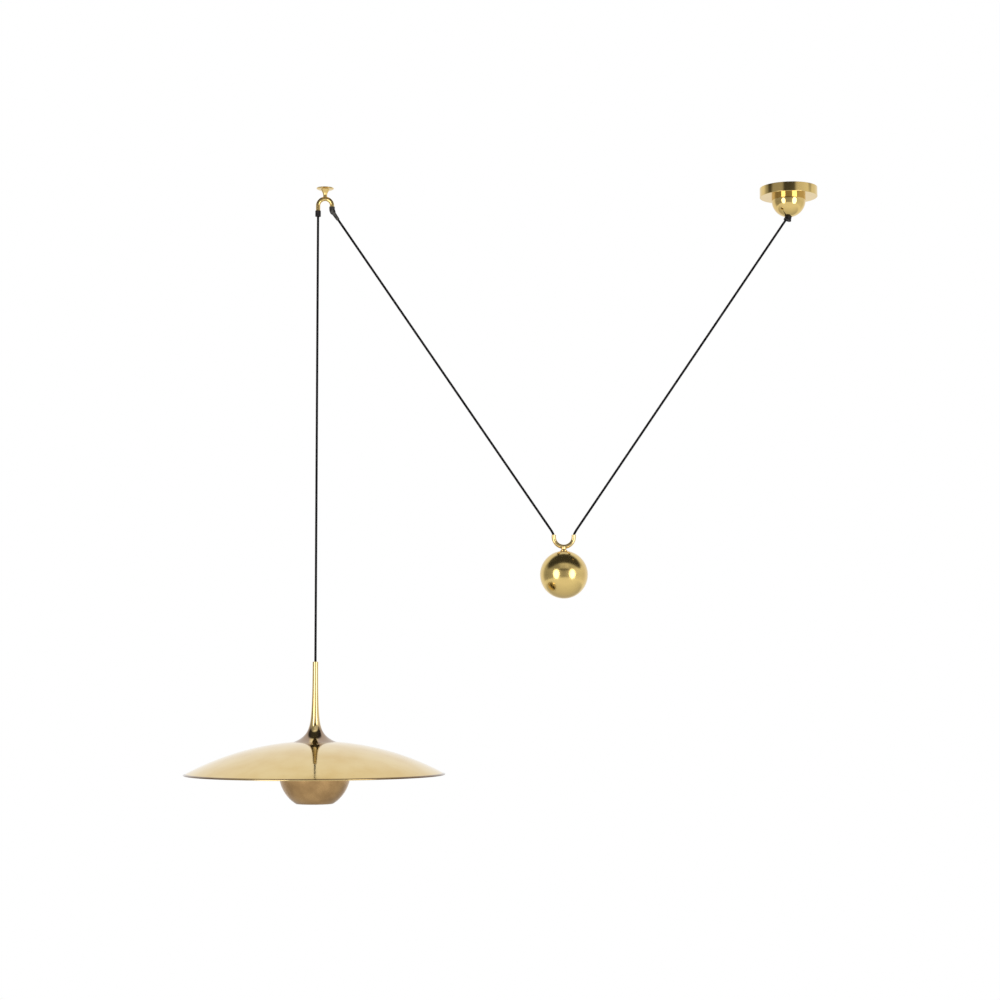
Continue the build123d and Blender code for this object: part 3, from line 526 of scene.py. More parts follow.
def ceiling_shade(size):
    """Reflection card of the unlit ceiling."""
    # Nearly black in the middle, and it thins out softly to nothing at its edges
    clear_from = 0.55  # share of the card's reach
    material, tree = start_finish("dark_ceiling")
    place = add_node(tree, "ShaderNodeTexCoord")
    share = add_node(
        tree,
        "ShaderNodeMapping",
        {"Vector": place.outputs["Object"], "Scale": (2 / size[0], 2 / size[1], 0)},
    )
    reach = add_node(tree, "ShaderNodeVectorMath", {0: share.outputs[0]}, operation="LENGTH")
    fade = add_node(
        tree,
        "ShaderNodeMapRange",
        {"Value": reach.outputs["Value"], "From Min": clear_from, "From Max": 1.0},
        interpolation_type="SMOOTHSTEP",
    )
    glow = add_node(tree, "ShaderNodeEmission", {"Strength": 0.05})
    nothing = add_node(tree, "ShaderNodeBsdfTransparent")
    mixed = add_node(
        tree, "ShaderNodeMixShader", {0: fade.outputs[0], 1: glow.outputs[0], 2: nothing.outputs[0]}
    )
    add_node(tree, "ShaderNodeOutputMaterial", {"Surface": mixed.outputs[0]})
    return material


def room_shade(radius, foot, head):
    """Reflection card of the grey room."""
    # Grey that changes with the height, with a dark band in the middle, and clear towards its ends
    # Brightness at shares of the height
    middle = ((0, 0.45), (0.28, 0.42), (0.41, 0.37), (0.49, 0.07), (0.53, 0.07), (0.63, 0.62), (1, 0.62))
    sides = ((0, 0.45), (0.22, 0.4), (0.49, 0.47), (0.63, 0.3), (1, 0.5))
    # Where the middle passes into the sides, and where the ends clear behind the lamp
    middle_end = 0.3 * radius
    sides_start = 0.52 * radius
    clear_from = 0.25 * radius
    clear_at = 0.65 * radius
    material, tree = start_finish("grey_room")
    place = add_node(tree, "ShaderNodeTexCoord")
    centred = add_node(
        tree, "ShaderNodeMapping", {"Vector": place.outputs["Object"], "Location": (-WEIGHT_X, 0, 0)}
    )
    split = add_node(tree, "ShaderNodeSeparateXYZ", {"Vector": centred.outputs[0]})
    height = add_node(
        tree, "ShaderNodeMapRange", {"Value": split.outputs["Z"], "From Min": foot, "From Max": head}
    )
    tones = []
    for stops in (middle, sides):
        tones.append(add_node(tree, "ShaderNodeValToRGB", {"Fac": height.outputs[0]}))
        ramp = tones[-1].color_ramp
        ramp.elements.remove(ramp.elements[1])
        ramp.elements[0].color = (*[stops[0][1]] * 3, 1)
        for spot, level in stops[1:]:
            ramp.elements.new(spot).color = (level, level, level, 1)
    across = add_node(tree, "ShaderNodeMath", {0: split.outputs["X"]}, operation="ABSOLUTE")
    aside = add_node(
        tree,
        "ShaderNodeMapRange",
        {"Value": across.outputs[0], "From Min": middle_end, "From Max": sides_start},
        interpolation_type="SMOOTHSTEP",
    )
    tone = add_node(
        tree,
        "ShaderNodeMix",
        {"Factor": aside.outputs[0], "A": tones[0].outputs["Color"], "B": tones[1].outputs["Color"]},
        data_type="RGBA",
    )
    light = add_node(
        tree,
        "ShaderNodeMapRange",
        {
            "Value": split.outputs["X"],
            "From Min": 0,
            "From Max": radius,
            "To Min": 0.95,
            "To Max": 2.0,
        },
    )
    fade = add_node(
        tree,
        "ShaderNodeMapRange",
        {"Value": split.outputs["Y"], "From Min": clear_from, "From Max": clear_at},
        interpolation_type="SMOOTHSTEP",
    )
    glow = add_node(
        tree, "ShaderNodeEmission", {"Color": tone.outputs["Result"], "Strength": light.outputs[0]}
    )
    nothing = add_node(tree, "ShaderNodeBsdfTransparent")
    mixed = add_node(
        tree, "ShaderNodeMixShader", {0: fade.outputs[0], 1: glow.outputs[0], 2: nothing.outputs[0]}
    )
    add_node(tree, "ShaderNodeOutputMaterial", {"Surface": mixed.outputs[0]})
    return material


def pale_floor(context, reach):
    """Matt pale floor."""
    # Plain paint that holds the soft shadow, shows pale in polished brass, and clears towards its edge
    clear_from = 0.7 * reach
    grit_size = 300 * MM
    painted_light_depth = 1.5  # before and behind the lamp, in metres
    material, tree = start_finish("pale_matt_floor")
    place = add_node(tree, "ShaderNodeTexCoord")
    radius = add_node(tree, "ShaderNodeVectorMath", {0: place.outputs["Object"]}, operation="LENGTH")
    fade = add_node(
        tree,
        "ShaderNodeMapRange",
        {"Value": radius.outputs["Value"], "From Min": clear_from, "From Max": reach},
        interpolation_type="SMOOTHSTEP",
    )
    faces = add_node(tree, "ShaderNodeNewGeometry")
    clear = add_node(
        tree, "ShaderNodeMath", {0: fade.outputs[0], 1: faces.outputs["Backfacing"]}, operation="MAXIMUM"
    )
    grit = add_node(
        tree, "ShaderNodeTexNoise", {"Vector": place.outputs["Object"], "Scale": 1 / grit_size}
    )
    roughness = add_node(
        tree, "ShaderNodeMapRange", {"Value": grit.outputs["Fac"], "To Min": 0.8, "To Max": 1.0}
    )
    paint = add_node(
        tree,
        "ShaderNodeBsdfDiffuse",
        {"Color": (*tints_of(context).floor, 1), "Roughness": roughness.outputs[0]},
    )
    nothing = add_node(tree, "ShaderNodeBsdfTransparent")
    # Painted pool of light: as seen in polished brass the floor glows brighter before the lamp than behind
    # it
    path = add_node(tree, "ShaderNodeLightPath")
    split = add_node(tree, "ShaderNodeSeparateXYZ", {"Vector": place.outputs["Object"]})
    painted_floor_light = add_node(
        tree,
        "ShaderNodeMapRange",
        {
            "Value": split.outputs["Y"],
            "From Min": -painted_light_depth,
            "From Max": painted_light_depth,
            "To Min": 1.0,
            "To Max": 0.6,
        },
    )
    white = add_node(tree, "ShaderNodeEmission", {"Strength": painted_floor_light.outputs[0]})
    seen = add_node(
        tree,
        "ShaderNodeMixShader",
        {0: path.outputs["Is Glossy Ray"], 1: paint.outputs[0], 2: white.outputs[0]},
    )
    mixed = add_node(
        tree, "ShaderNodeMixShader", {0: clear.outputs[0], 1: seen.outputs[0], 2: nothing.outputs[0]}
    )
    add_node(tree, "ShaderNodeOutputMaterial", {"Surface": mixed.outputs[0]})
    return material


def buffed_finishes(context):
    """How the polished brass of each group of pieces was buffed, and where painted shade darkens it."""
    tints = tints_of(context)
    rim = sizes_of(context).rim_r
    beyond = 1.0  # further out than the edge of any piece
    clean = {"painted_shade": tints.painted_shade, "painted_shade_r": (beyond, 1.1 * beyond, 0)}
    # The stem's flare and the shade's roll get painted shade at the sides, with a painted highlight at the
    # front and the back
    flare = {"painted_shade": tints.painted_flare_shade, "painted_shade_r": (8 * MM, 15 * MM, 0)}
    roll = {"painted_shade": tints.painted_shade, "painted_shade_r": (rim - 5.2 * MM, rim - 4.6 * MM, rim - 2.5 * MM)}
    deep = {"brightest": tints.deep_brass, **clean}
    pale = {"brightest": tints.brass}
    mirror = (0.07, 0.1)
    return {
        # Small turned and bent pieces: clear mirrors
        "polished_brass_canopy": {"axis_x": CANOPY_X, "haze": mirror, **deep},
        "polished_brass_hook": {"axis_x": HOOK_X, "haze": (0.08, 0.11), **deep},
        "polished_brass_guide": {"axis_x": WEIGHT_X, "haze": mirror, **pale, **clean},
        # Stem: a clear mirror with painted shade on its flare
        "polished_brass_stem": {"axis_x": LAMP_X, "haze": mirror, **pale, **flare},
        # Ball: hands have rubbed its mirror hazy
        "polished_brass_weight": {"axis_x": WEIGHT_X, "haze": (0.17, 0.22), **deep},
        # Spun shade: a mirror with faint rings from the lathe, with brown painted shade in the roll of its
        # rim and its crease
        "polished_brass_shade": {"axis_x": LAMP_X, "haze": (0.06, 0.13), "relief": 0.03, **pale, **roll},
    }


def darker(colour, share):
    """A colour at a share of its brightness."""
    return [share * part for part in colour]


def clouded_finishes(tints):
    """Tones of each clouded finish, then its patch, roughness, grain, depth and other settings."""
    metal = {"Metallic": 1}
    soft = {"Specular IOR Level": 0.25}
    glassy = {"IOR": 1.5, "Transmission Weight": 0.35}
    return {
        # Brass rubbed with fine abrasive: a soft broad shine, mottled by old lacquer
        "satin_lacquered_brass": ((tints.satin, tints.satin_dark), 30, 0.28, 0.8, 0.03, metal),
        # Brass straight from the lathe: bright but not a mirror
        "lathe_turned_brass": ((tints.turned, tints.turned_dark), 9, 0.26, 0.5, 0.02, metal),
        # Pressed steel with a thin zinc coat: grey, with small dull spangles
        "zinc_plated_steel": ((tints.zinc, tints.zinc_dark), 3, 0.34, 0.6, 0.02, metal),
        # Thin rolled sheet: pale and bright, a little dull where it was handled
        "rolled_aluminium": ((tints.aluminium, tints.aluminium_dull), 6, 0.25, 0.7, 0.02, metal),
        # Soft black rubber: a dull broad shine and chalky marks from handling
        "moulded_rubber": ((tints.rubber, tints.rubber_grey), 5, 0.5, 0.5, 0.06, soft),
        # Old black rubber: grey bloom lies on it in patches
        "bloomed_rubber": ((tints.rubber, tints.rubber_bloom), 7, 0.6, 0.5, 0.06, soft),
        # Pressed phenolic resin: black, glossy, with faint brown flow marks
        "black_phenolic": ((tints.phenolic, tints.phenolic_brown), 7, 0.24, 0.9, 0.02, {}),
        # Fired ceramic: off-white and dense, with faint grey specks
        "steatite": ((tints.steatite, tints.steatite_grey), 1.5, 0.4, 0.4, 0.03, {}),
        # Extruded vinyl: brown and faintly glossy
        "live_wire_vinyl": ((tints.live, darker(tints.live, 0.8)), 4, 0.4, 0.6, 0.02, {}),
        # Extruded vinyl: blue and faintly glossy
        "neutral_wire_vinyl": ((tints.neutral, darker(tints.neutral, 0.8)), 4, 0.4, 0.6, 0.02, {}),
        # Glass frosted inside: white, soft, with a clear gloss on top
        "frosted_glass": ((tints.glass, darker(tints.glass, 0.94)), 8, 0.3, 0.7, 0.02, glassy),
    }


def finish_named(context, name):
    """A finish by name, made the first time that a piece asks for it."""
    if name in bpy.data.materials:
        return bpy.data.materials[name]
    buffed = buffed_finishes(context)
    mingled = clouded_finishes(tints_of(context))
    if name in buffed:
        return polished_brass(context, name, **buffed[name])
    if name in mingled:
        return clouded(name, *mingled[name])
    if name == "black_rayon_braid":
        return braided_textile(context, name)
    raise RuntimeError(f"there is no finish named {name}")


# Modelling


def pick(piece):
    """Select one piece and make it active."""
    bpy.ops.object.select_all(action="DESELECT")
    piece.select_set(True)
    bpy.context.view_layer.objects.active = piece


def apply_modifier(piece, kind, **settings):
    """Add a modifier with its settings and apply it."""
    pick(piece)
    bpy.ops.object.modifier_add(type=kind)
    modifier = piece.modifiers[-1]
    for name, value in settings.items():
        setattr(modifier, name, value)
    bpy.ops.object.modifier_apply(modifier=modifier.name)


def cut(piece, cutter):
    """Take one piece's shape out of another."""
    apply_modifier(piece, "BOOLEAN", operation="DIFFERENCE", object=cutter, solver="EXACT")
    bpy.data.objects.remove(cutter)


def give_wall(piece, thickness):
    """Give an open skin a wall inwards."""
    apply_modifier(piece, "SOLIDIFY", thickness=thickness, offset=-1, use_rim=True)


def join(pieces):
    """Join pieces to the first of them."""
    pick(pieces[0])
    for piece in pieces[1:]:
        piece.select_set(True)
    bpy.ops.object.join()
    return pieces[0]


def start_line(name, place):
    """Start a piece as one point, in edit mode."""
    bpy.ops.object.select_all(action="DESELECT")
    bpy.ops.mesh.primitive_plane_add(size=SEED, location=place)
    piece = bpy.context.object
    piece.name = name
    bpy.ops.object.transform_apply(location=True, rotation=True, scale=True)
    bpy.ops.object.mode_set(mode="EDIT")
    bpy.ops.mesh.merge(type="CENTER")
    return piece


def seat_piece(piece, node, finish, edge=0.0):
    """Ease a piece's edges, shade and finish it, and let it stand for a node of the frame."""
    if not piece.data.polygons:
        raise RuntimeError(f"{piece.name} has no faces")
    if edge:
        apply_modifier(piece, "BEVEL", width=edge, segments=2, limit_method="ANGLE", angle_limit=EASED)
    pick(piece)
    bpy.ops.object.shade_smooth_by_angle(angle=SHARP)
    apply_modifier(piece, "WEIGHTED_NORMAL", keep_sharp=True)
    piece.data.materials.clear()
    piece.data.materials.append(finish)
    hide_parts(node)
    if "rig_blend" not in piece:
        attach(piece, BODY_OF[node])


class Outline:
    """Half a section, drawn in edit mode as (radius, height) and turned into a piece."""

    def __init__(self, name, axis_x, level, start):
        self.origin = Vector((axis_x, 0, level))
        self.point = Vector(start)
        start_line(name, self.place(self.point))

    def place(self, point):
        """A point of the section in the frame."""
        return self.origin + Vector((point[0], 0, point[1]))

    def line(self, *points):
        """Straight edges from point to point."""
        for point in points:
            step = Vector(point) - self.point
            bpy.ops.mesh.extrude_vertices_move(
                TRANSFORM_OT_translate={"value": (step.x, 0, step.y)}
            )
            self.point = Vector(point)
        return self

    def arc(self, centre, degrees, steps):
        """A round stretch about a centre. Over 0 goes counterclockwise."""
        sweep = math.radians(degrees)
        bpy.ops.mesh.spin(steps=steps, angle=sweep, center=self.place(centre), axis=(0, 1, 0))
        centre = Vector(centre)
        self.point = centre + Matrix.Rotation(sweep, 2) @ (self.point - centre)
        return self

    def corner(self, at, towards, radius, steps=5):
        """A line to a rounded corner and round it."""
        at = Vector(at)
        back = (self.point - at).normalized()
        ahead = (Vector(towards) - at).normalized()
        half = back.angle(ahead) / 2
        centre = at + (back + ahead).normalized() * radius / math.sin(half)
        side = math.copysign(1, ahead.x * back.y - ahead.y * back.x)
        self.line(at + back * radius / math.tan(half))
        return self.arc(centre, side * (180 - 2 * math.degrees(half)), steps)

    def turned(self, sides):
        """Turn the section all the way round and face it outwards."""
        bpy.ops.mesh.select_all(action="SELECT")
        bpy.ops.mesh.spin(steps=sides, angle=math.tau, center=self.origin, axis=(0, 0, 1))
        bpy.ops.mesh.select_all(action="SELECT")
        bpy.ops.mesh.remove_doubles(threshold=MERGE)
        bpy.ops.mesh.normals_make_consistent(inside=False)
        bpy.ops.object.mode_set(mode="OBJECT")
        return bpy.context.object


def heading(degrees):
    """Direction in the lamp's plane: 0 is up, 90 is towards +X."""
    return Vector((math.sin(math.radians(degrees)), 0, math.cos(math.radians(degrees))))


class Tube:
    """A round tube, run and bent in edit mode along its line in the lamp's plane."""

    def __init__(self, name, start, degrees, radius, sides=40):
        self.point = Vector(start)
        self.degrees = degrees
        bpy.ops.object.select_all(action="DESELECT")
        bpy.ops.mesh.primitive_circle_add(
            vertices=sides,
            radius=radius,
            fill_type="NOTHING",
            location=start,
            rotation=(0, math.radians(degrees), 0),
        )
        bpy.context.object.name = name
        bpy.ops.object.transform_apply(location=True, rotation=True, scale=True)
        bpy.ops.object.mode_set(mode="EDIT")

    def run(self, distance, scale=1.0):
        """A straight stretch, tapered where a scale is given."""
        step = heading(self.degrees) * distance
        self.point += step
        bpy.ops.mesh.extrude_region_move(TRANSFORM_OT_translate={"value": step})
        if scale != 1:
            bpy.ops.transform.resize(value=(scale, scale, scale), center_override=self.point)
        return self

    def bend(self, radius, degrees, steps):
        """A bend. Over 0 is clockwise."""
        side = math.copysign(90, degrees)
        centre = self.point + heading(self.degrees + side) * radius
        bpy.ops.mesh.spin(steps=steps, angle=-math.radians(degrees), center=centre, axis=(0, 1, 0))
        self.degrees += degrees
        self.point = centre + heading(self.degrees - side) * radius
        return self

    def done(self, solid=False):
        """Leave edit mode with the faces outwards, with both ends closed where it is solid."""
        bpy.ops.mesh.select_all(action="SELECT")
        bpy.ops.mesh.remove_doubles(threshold=MERGE)
        if solid:
            bpy.ops.mesh.fill_holes(sides=0)
        bpy.ops.mesh.select_all(action="SELECT")
        bpy.ops.mesh.normals_make_consistent(inside=False)
        bpy.ops.object.mode_set(mode="OBJECT")
        return bpy.context.object


def smooth_line(points):
    """Points along a smooth spline that is pulled towards control points."""
    curve = bpy.data.curves.new("cord_line", "CURVE")
    curve.dimensions = "3D"
    spline = curve.splines.new("NURBS")
    spline.points.add(len(points) - 1)
    for control, point in zip(spline.points, points):
        control.co = (*point, 1)
    spline.order_u = 3
    spline.use_endpoint_u = True
    curve.resolution_u = 12
    carrier = bpy.data.objects.new("cord_line", curve)
    mesh = bpy.data.meshes.new_from_object(carrier)
    line = [vertex.co.copy() for vertex in mesh.vertices]
    bpy.data.objects.remove(carrier)
    bpy.data.curves.remove(curve)
    bpy.data.meshes.remove(mesh)
    return line


def round_cord(name, line, radius, sides=20):
    """A round cord along a line, with a map that wraps round it and runs along it."""
    shape = bmesh.new()
    wrap = shape.loops.layers.uv.new("wrap")
    side = Vector((0, 1, 0))
    nearly_along = 0.9
    rings = []
    travel = [0.0]
    for i, point in enumerate(line):
        ahead = (line[min(i + 1, len(line) - 1)] - line[max(i - 1, 0)]).normalized()
        if abs(ahead.dot(side)) > nearly_along:
            side = Vector((1, 0, 0))
        side = (side - ahead * side.dot(ahead)).normalized()
        across = ahead.cross(side)
        turns = [math.tau * j / sides for j in range(sides)]
        ring = [point + radius * (math.cos(t) * side + math.sin(t) * across) for t in turns]
        rings.append([shape.verts.new(place) for place in ring])
        if i:
            travel.append(travel[-1] + (point - line[i - 1]).length / (math.tau * radius))
    for i in range(len(line) - 1):
        for j in range(sides):
            k = (j + 1) % sides
            face = shape.faces.new([rings[i][j], rings[i][k], rings[i + 1][k], rings[i + 1][j]])
            around = [j / sides, (j + 1) / sides, (j + 1) / sides, j / sides]
            along = [travel[i], travel[i], travel[i + 1], travel[i + 1]]
            for loop, u, v in zip(face.loops, around, along):
                loop[wrap].uv = (u, v)
    shape.faces.new(reversed(rings[0]))
    shape.faces.new(rings[-1])
    bmesh.ops.recalc_face_normals(shape, faces=shape.faces)
    mesh = bpy.data.meshes.new(name)
    shape.to_mesh(mesh)
    shape.free()
    piece = bpy.data.objects.new(name, mesh)
    bpy.context.scene.collection.objects.link(piece)
    return piece


class PENDANT_OT_stage(bpy.types.Operator):
    """Set up the camera, the floor, the white room, the softboxes and the reflection cards"""

    bl_idname = "pendant.stage"
    bl_label = "Stage"

    def execute(self, context):
        view = context.scene.pendant_view
        context.scene.view_settings.view_transform = "Standard"
        bpy.ops.object.camera_add(
            location=view.place, rotation=(math.radians(90) + view.pitch, view.roll, view.yaw)
        )
        camera = context.object
        camera.data.lens = view.focal
        camera.data.sensor_width = 36
        context.scene.camera = camera
        self.white_room(context, view)
        for side in (-1, 1):
            self.softbox(side, view)
        self.dark_ceiling()
        self.grey_room(view)
        bpy.ops.object.select_all(action="DESELECT")
        bpy.ops.mesh.primitive_circle_add(vertices=96, radius=view.floor_r, fill_type="NGON")
        floor = context.object
        floor.name = "floor"
        floor.location = (WEIGHT_X, 0, -view.floor)
        floor.data.materials.append(pale_floor(context, view.floor_r))
        return {"FINISHED"}

    def white_room(self, context, view):
        """White all round for the eye and for reflections, and softer as light."""
        world = bpy.data.worlds.new("white_room")
        context.scene.world = world
        world.use_nodes = True
        tree = world.node_tree
        tree.nodes.clear()
        path = add_node(tree, "ShaderNodeLightPath")
        seen = add_node(
            tree,
            "ShaderNodeMath",
            {0: path.outputs["Is Camera Ray"], 1: path.outputs["Is Glossy Ray"]},
            operation="MAXIMUM",
        )
        clear = add_node(
            tree,
            "ShaderNodeMath",
            {0: seen.outputs[0], 1: path.outputs["Is Transmission Ray"]},
            operation="MAXIMUM",
        )
        strength = add_node(
            tree, "ShaderNodeMapRange", {"Value": clear.outputs[0], "To Min": view.ambient, "To Max": 1.0}
        )
        glow = add_node(
            tree, "ShaderNodeBackground", {"Color": (1, 1, 1, 1), "Strength": strength.outputs[0]}
        )
        add_node(tree, "ShaderNodeOutputWorld", {"Surface": glow.outputs[0]})

    def softbox(self, side, view):
        """One of two large soft lights beside the camera."""
        # In metres from the lamp's middle and below the ceiling
        aside = 2.3
        before = 2.84
        level = -0.76
        place = Vector((WEIGHT_X + side * aside, -before, level))
        aim = Vector((WEIGHT_X, 0, level)) - place
        bpy.ops.object.light_add(
            type="AREA", location=place, rotation=aim.to_track_quat("-Z", "Y").to_euler()
        )
        light = bpy.context.object
        light.name = "softbox_left" if side < 0 else "softbox_right"
        light.data.shape = "ELLIPSE"
        light.data.size = 1.9
        light.data.size_y = 2.75
        light.data.energy = view.softbox_power
        light.visible_camera = False

    def dark_ceiling(self):
        """The unlit ceiling of the studio, as it shows in polished brass."""
        centre = (WEIGHT_X, -0.24, 1.0)
        size = (12.0, 3.0)
        bpy.ops.object.select_all(action="DESELECT")
        bpy.ops.mesh.primitive_plane_add(size=1)
        card = bpy.context.object
        card.name = "dark_ceiling"
        card.scale = (*size, 1)
        bpy.ops.object.transform_apply(location=True, rotation=True, scale=True)
        card.location = centre
        card.data.materials.append(ceiling_shade(size))
        self.only_reflected(card)

    def grey_room(self, view):
        """The grey room round the camera, as it shows in polished brass."""
        radius = 5.6
        foot = -view.floor
        head = 5.2
        reach = math.radians(132)  # to each side of the camera
        start = (WEIGHT_X - radius * math.sin(reach), -radius * math.cos(reach), foot)
        card = start_line("grey_room", start)
        bpy.ops.mesh.extrude_vertices_move(TRANSFORM_OT_translate={"value": (0, 0, head - foot)})
        bpy.ops.mesh.select_all(action="SELECT")
        bpy.ops.mesh.spin(steps=64, angle=-2 * reach, center=(WEIGHT_X, 0, 0), axis=(0, 0, 1))
        bpy.ops.object.mode_set(mode="OBJECT")
        card.data.materials.append(room_shade(radius, foot, head))
        self.only_reflected(card)

    def only_reflected(self, card):
        """Let a card show in polished surfaces alone."""
        card.visible_camera = False
        card.visible_diffuse = False
        card.visible_shadow = False
        card.visible_transmission = False


class PENDANT_OT_cord(bpy.types.Operator):
    """Run the textile cord from the canopy by the weight and the hook to the lamp"""

    bl_idname = "pendant.cord"
    bl_label = "Cord"

    def execute(self, context):
        braid = finish_named(context, "black_rayon_braid")
        radius = sizes_of(context).cord_r
        for name, (node, body, points) in self.free_stretches().items():
            line = smooth_line(points)
            cord = round_cord(name, line, radius)
            self.stretch(cord, body, points[0], points[-1])
            seat_piece(cord, node, braid)
        for name, (node, points) in self.held_stretches().items():
            seat_piece(round_cord(name, smooth_line(points), radius), node, braid)
        return {"FINISHED"}

    def free_stretches(self):
        """Control points of the stretches that lie free, with one near each end of a straight run."""
        return {
            "drop_cord": (
                "cord_drop",
                "lamp",
                [(-1.017, 0, -0.0621), (-1.017, 0, -0.092), (-1.017, 0, -0.99), (-1.017, 0, -1.02)],
            ),
            "left_leg_cord": (
                "cord_left_leg",
                "counterweight",
                [
                    (-0.97373, 0, -0.06893),
                    (-0.95687, 0, -0.09374),
                    (-0.53518, 0, -0.71425),
                    (-0.51832, 0, -0.73907),
                ],
            ),
            "right_leg_cord": (
                "cord_right_leg",
                "counterweight",
                [
                    (-0.00816, 0, -0.0719),
                    (-0.02502, 0, -0.09671),
                    (-0.44468, 0, -0.71425),
                    (-0.46154, 0, -0.73907),
                ],
            ),
        }

    def held_stretches(self):
        """Control points of the stretches that are held in the tubes, the canopy and the stem."""
        return {
            "canopy_cord": (
                "cord_in_canopy",
                [(0, 0, -0.0055), (0, 0, -0.046), (0, 0, -0.0599), (-0.00816, 0, -0.0719)],
            ),
            "guide_cord": (
                "cord_in_guide",
                [
                    (-0.51832, 0, -0.73907),
                    (-0.51123, 0, -0.7495),
                    (-0.51123, 0, -0.75991),
                    (-0.50621, 0, -0.77179),
                    (-0.48993, 0, -0.77853),
                    (-0.47366, 0, -0.77179),
                    (-0.46863, 0, -0.75991),
                    (-0.46863, 0, -0.7495),
                    (-0.46154, 0, -0.73907),
                ],
            ),
            "hook_cord": (
                "cord_in_hook",
                [
                    (-1.017, 0, -0.0621),
                    (-1.017, 0, -0.0478),
                    (-1.017, 0, -0.0351),
                    (-1.01346, 0, -0.02674),
                    (-1.002, 0, -0.022),
                    (-0.99054, 0, -0.02674),
                    (-0.987, 0, -0.0351),
                    (-0.987, 0, -0.0494),
                    (-0.97373, 0, -0.06893),
                ],
            ),
            "stem_cord": (
                "cord_in_stem",
                [(-1.017, 0, -1.02), (-1.017, 0, -1.1), (-1.017, 0, -1.2119)],
            ),
        }

    def stretch(self, cord, body, start, end):
        """Let a stretch follow the ceiling at one end and a body at the other, and stay straight."""
        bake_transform(cord, "ceiling_fittings", body, start=start, end=end)
        start = Vector(start)
        run = Vector(end) - start
        shares = [(vertex.co - start).dot(run) / run.length_squared for vertex in cord.data.vertices]
        weights = [min(max(share, 0.0), 1.0) for share in shares]
        cord.data.attributes["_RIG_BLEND"].data.foreach_set("value", weights)


class PENDANT_OT_canopy(bpy.types.Operator):
    """Spin the pan and the dome, and mould the cord grip"""

    bl_idname = "pendant.canopy"
    bl_label = "Canopy"

    def execute(self, context):
        sizes = sizes_of(context)
        brass = finish_named(context, "polished_brass_canopy")
        under = foot_of("canopy_pan")
        inside = under + sizes.pan_wall
        inner_r = sizes.pan_r - sizes.pan_wall
        hole_r = sizes.pipe_r + FIT
        pan = Outline("brass_pan", CANOPY_X, 0, (sizes.pan_r, 0))
        pan.corner((sizes.pan_r, under), (hole_r, under), sizes.pan_edge)
        pan.line((hole_r, under), (hole_r, inside))
        pan.corner((inner_r, inside), (inner_r, 0), sizes.pan_edge)
        pan.line((inner_r, 0), (sizes.pan_r, 0))
        seat_piece(pan.turned(sides=160), "canopy_pan", brass, edge=sizes.fine_edge)
        self.dome(sizes, under, brass)
        self.grip(sizes, finish_named(context, "moulded_rubber"))
        return {"FINISHED"}

    def dome(self, sizes, under, brass):
        """Half ball on a straight neck, with a fine seam between them."""
        centre = (0, under - sizes.dome_neck)
        inner_r = sizes.dome_r - sizes.pan_wall
        outer_sweep = math.degrees(math.acos(sizes.dome_hole / sizes.dome_r))
        inner_sweep = math.degrees(math.acos(sizes.dome_hole / inner_r))
        dome = Outline("brass_dome", CANOPY_X, 0, (inner_r, under))
        dome.line(
            (sizes.dome_r, under),
            (sizes.dome_r, centre[1] + sizes.seam),
            (sizes.dome_r - sizes.seam, centre[1] + sizes.seam / 2),
            (sizes.dome_r, centre[1]),
        )
        dome.arc(centre, -outer_sweep, steps=48)
        foot = math.radians(-inner_sweep)
        dome.line((inner_r * math.cos(foot), centre[1] + inner_r * math.sin(foot)))
        dome.arc(centre, inner_sweep, steps=40)
        dome.line((inner_r, under))
        seat_piece(dome.turned(sides=144), "canopy_dome", brass)

    def grip(self, sizes, rubber):
        """Soft nose with a rolled mouth, tilted by the cord, and its hub in the dome."""
        top = top_of("canopy_cord_grip")
        turn_z = -sizes.dome_r - sizes.dome_neck + foot_of("canopy_pan") + sizes.grip_rise
        foot = turn_z - sizes.grip_length
        slope = (sizes.grip_mouth - sizes.grip_root) / sizes.grip_length
        waist_z = turn_z - sizes.grip_length / 2
        lip_z = foot + sizes.grip_lip
        hub_foot = turn_z - sizes.grip_hub
        grip = Outline("cord_grip", CANOPY_X, 0, (sizes.sleeve_bore, foot))
        grip.corner((sizes.grip_mouth, foot), (sizes.grip_mouth, turn_z), sizes.grip_round)
        grip.line((sizes.grip_mouth, lip_z))
        grip.line((sizes.grip_mouth - sizes.grip_lip_step, lip_z + sizes.grip_lip_fall))
        grip.line((sizes.grip_root + slope * (turn_z - waist_z), waist_z))
        grip.line((sizes.grip_root, turn_z), (sizes.sleeve_bore, turn_z), (sizes.sleeve_bore, foot))
        nose = grip.turned(sides=72)
        pick(nose)
        bpy.ops.object.mode_set(mode="EDIT")
        bpy.ops.mesh.select_all(action="SELECT")
        bpy.ops.transform.rotate(
            value=-sizes.grip_tilt, orient_axis="Y", center_override=(CANOPY_X, 0, turn_z)
        )
        bpy.ops.object.mode_set(mode="OBJECT")
        hub_r = sizes.dome_hole - 2 * FIT
        thread_r = sizes.pipe_r + FIT
        hub = Outline("grip_hub", CANOPY_X, 0, (thread_r, top))
        hub.line((hub_r, top), (hub_r, hub_foot), (thread_r, hub_foot), (thread_r, top))
        seat_piece(join([nose, hub.turned(sides=72)]), "canopy_cord_grip", rubber)


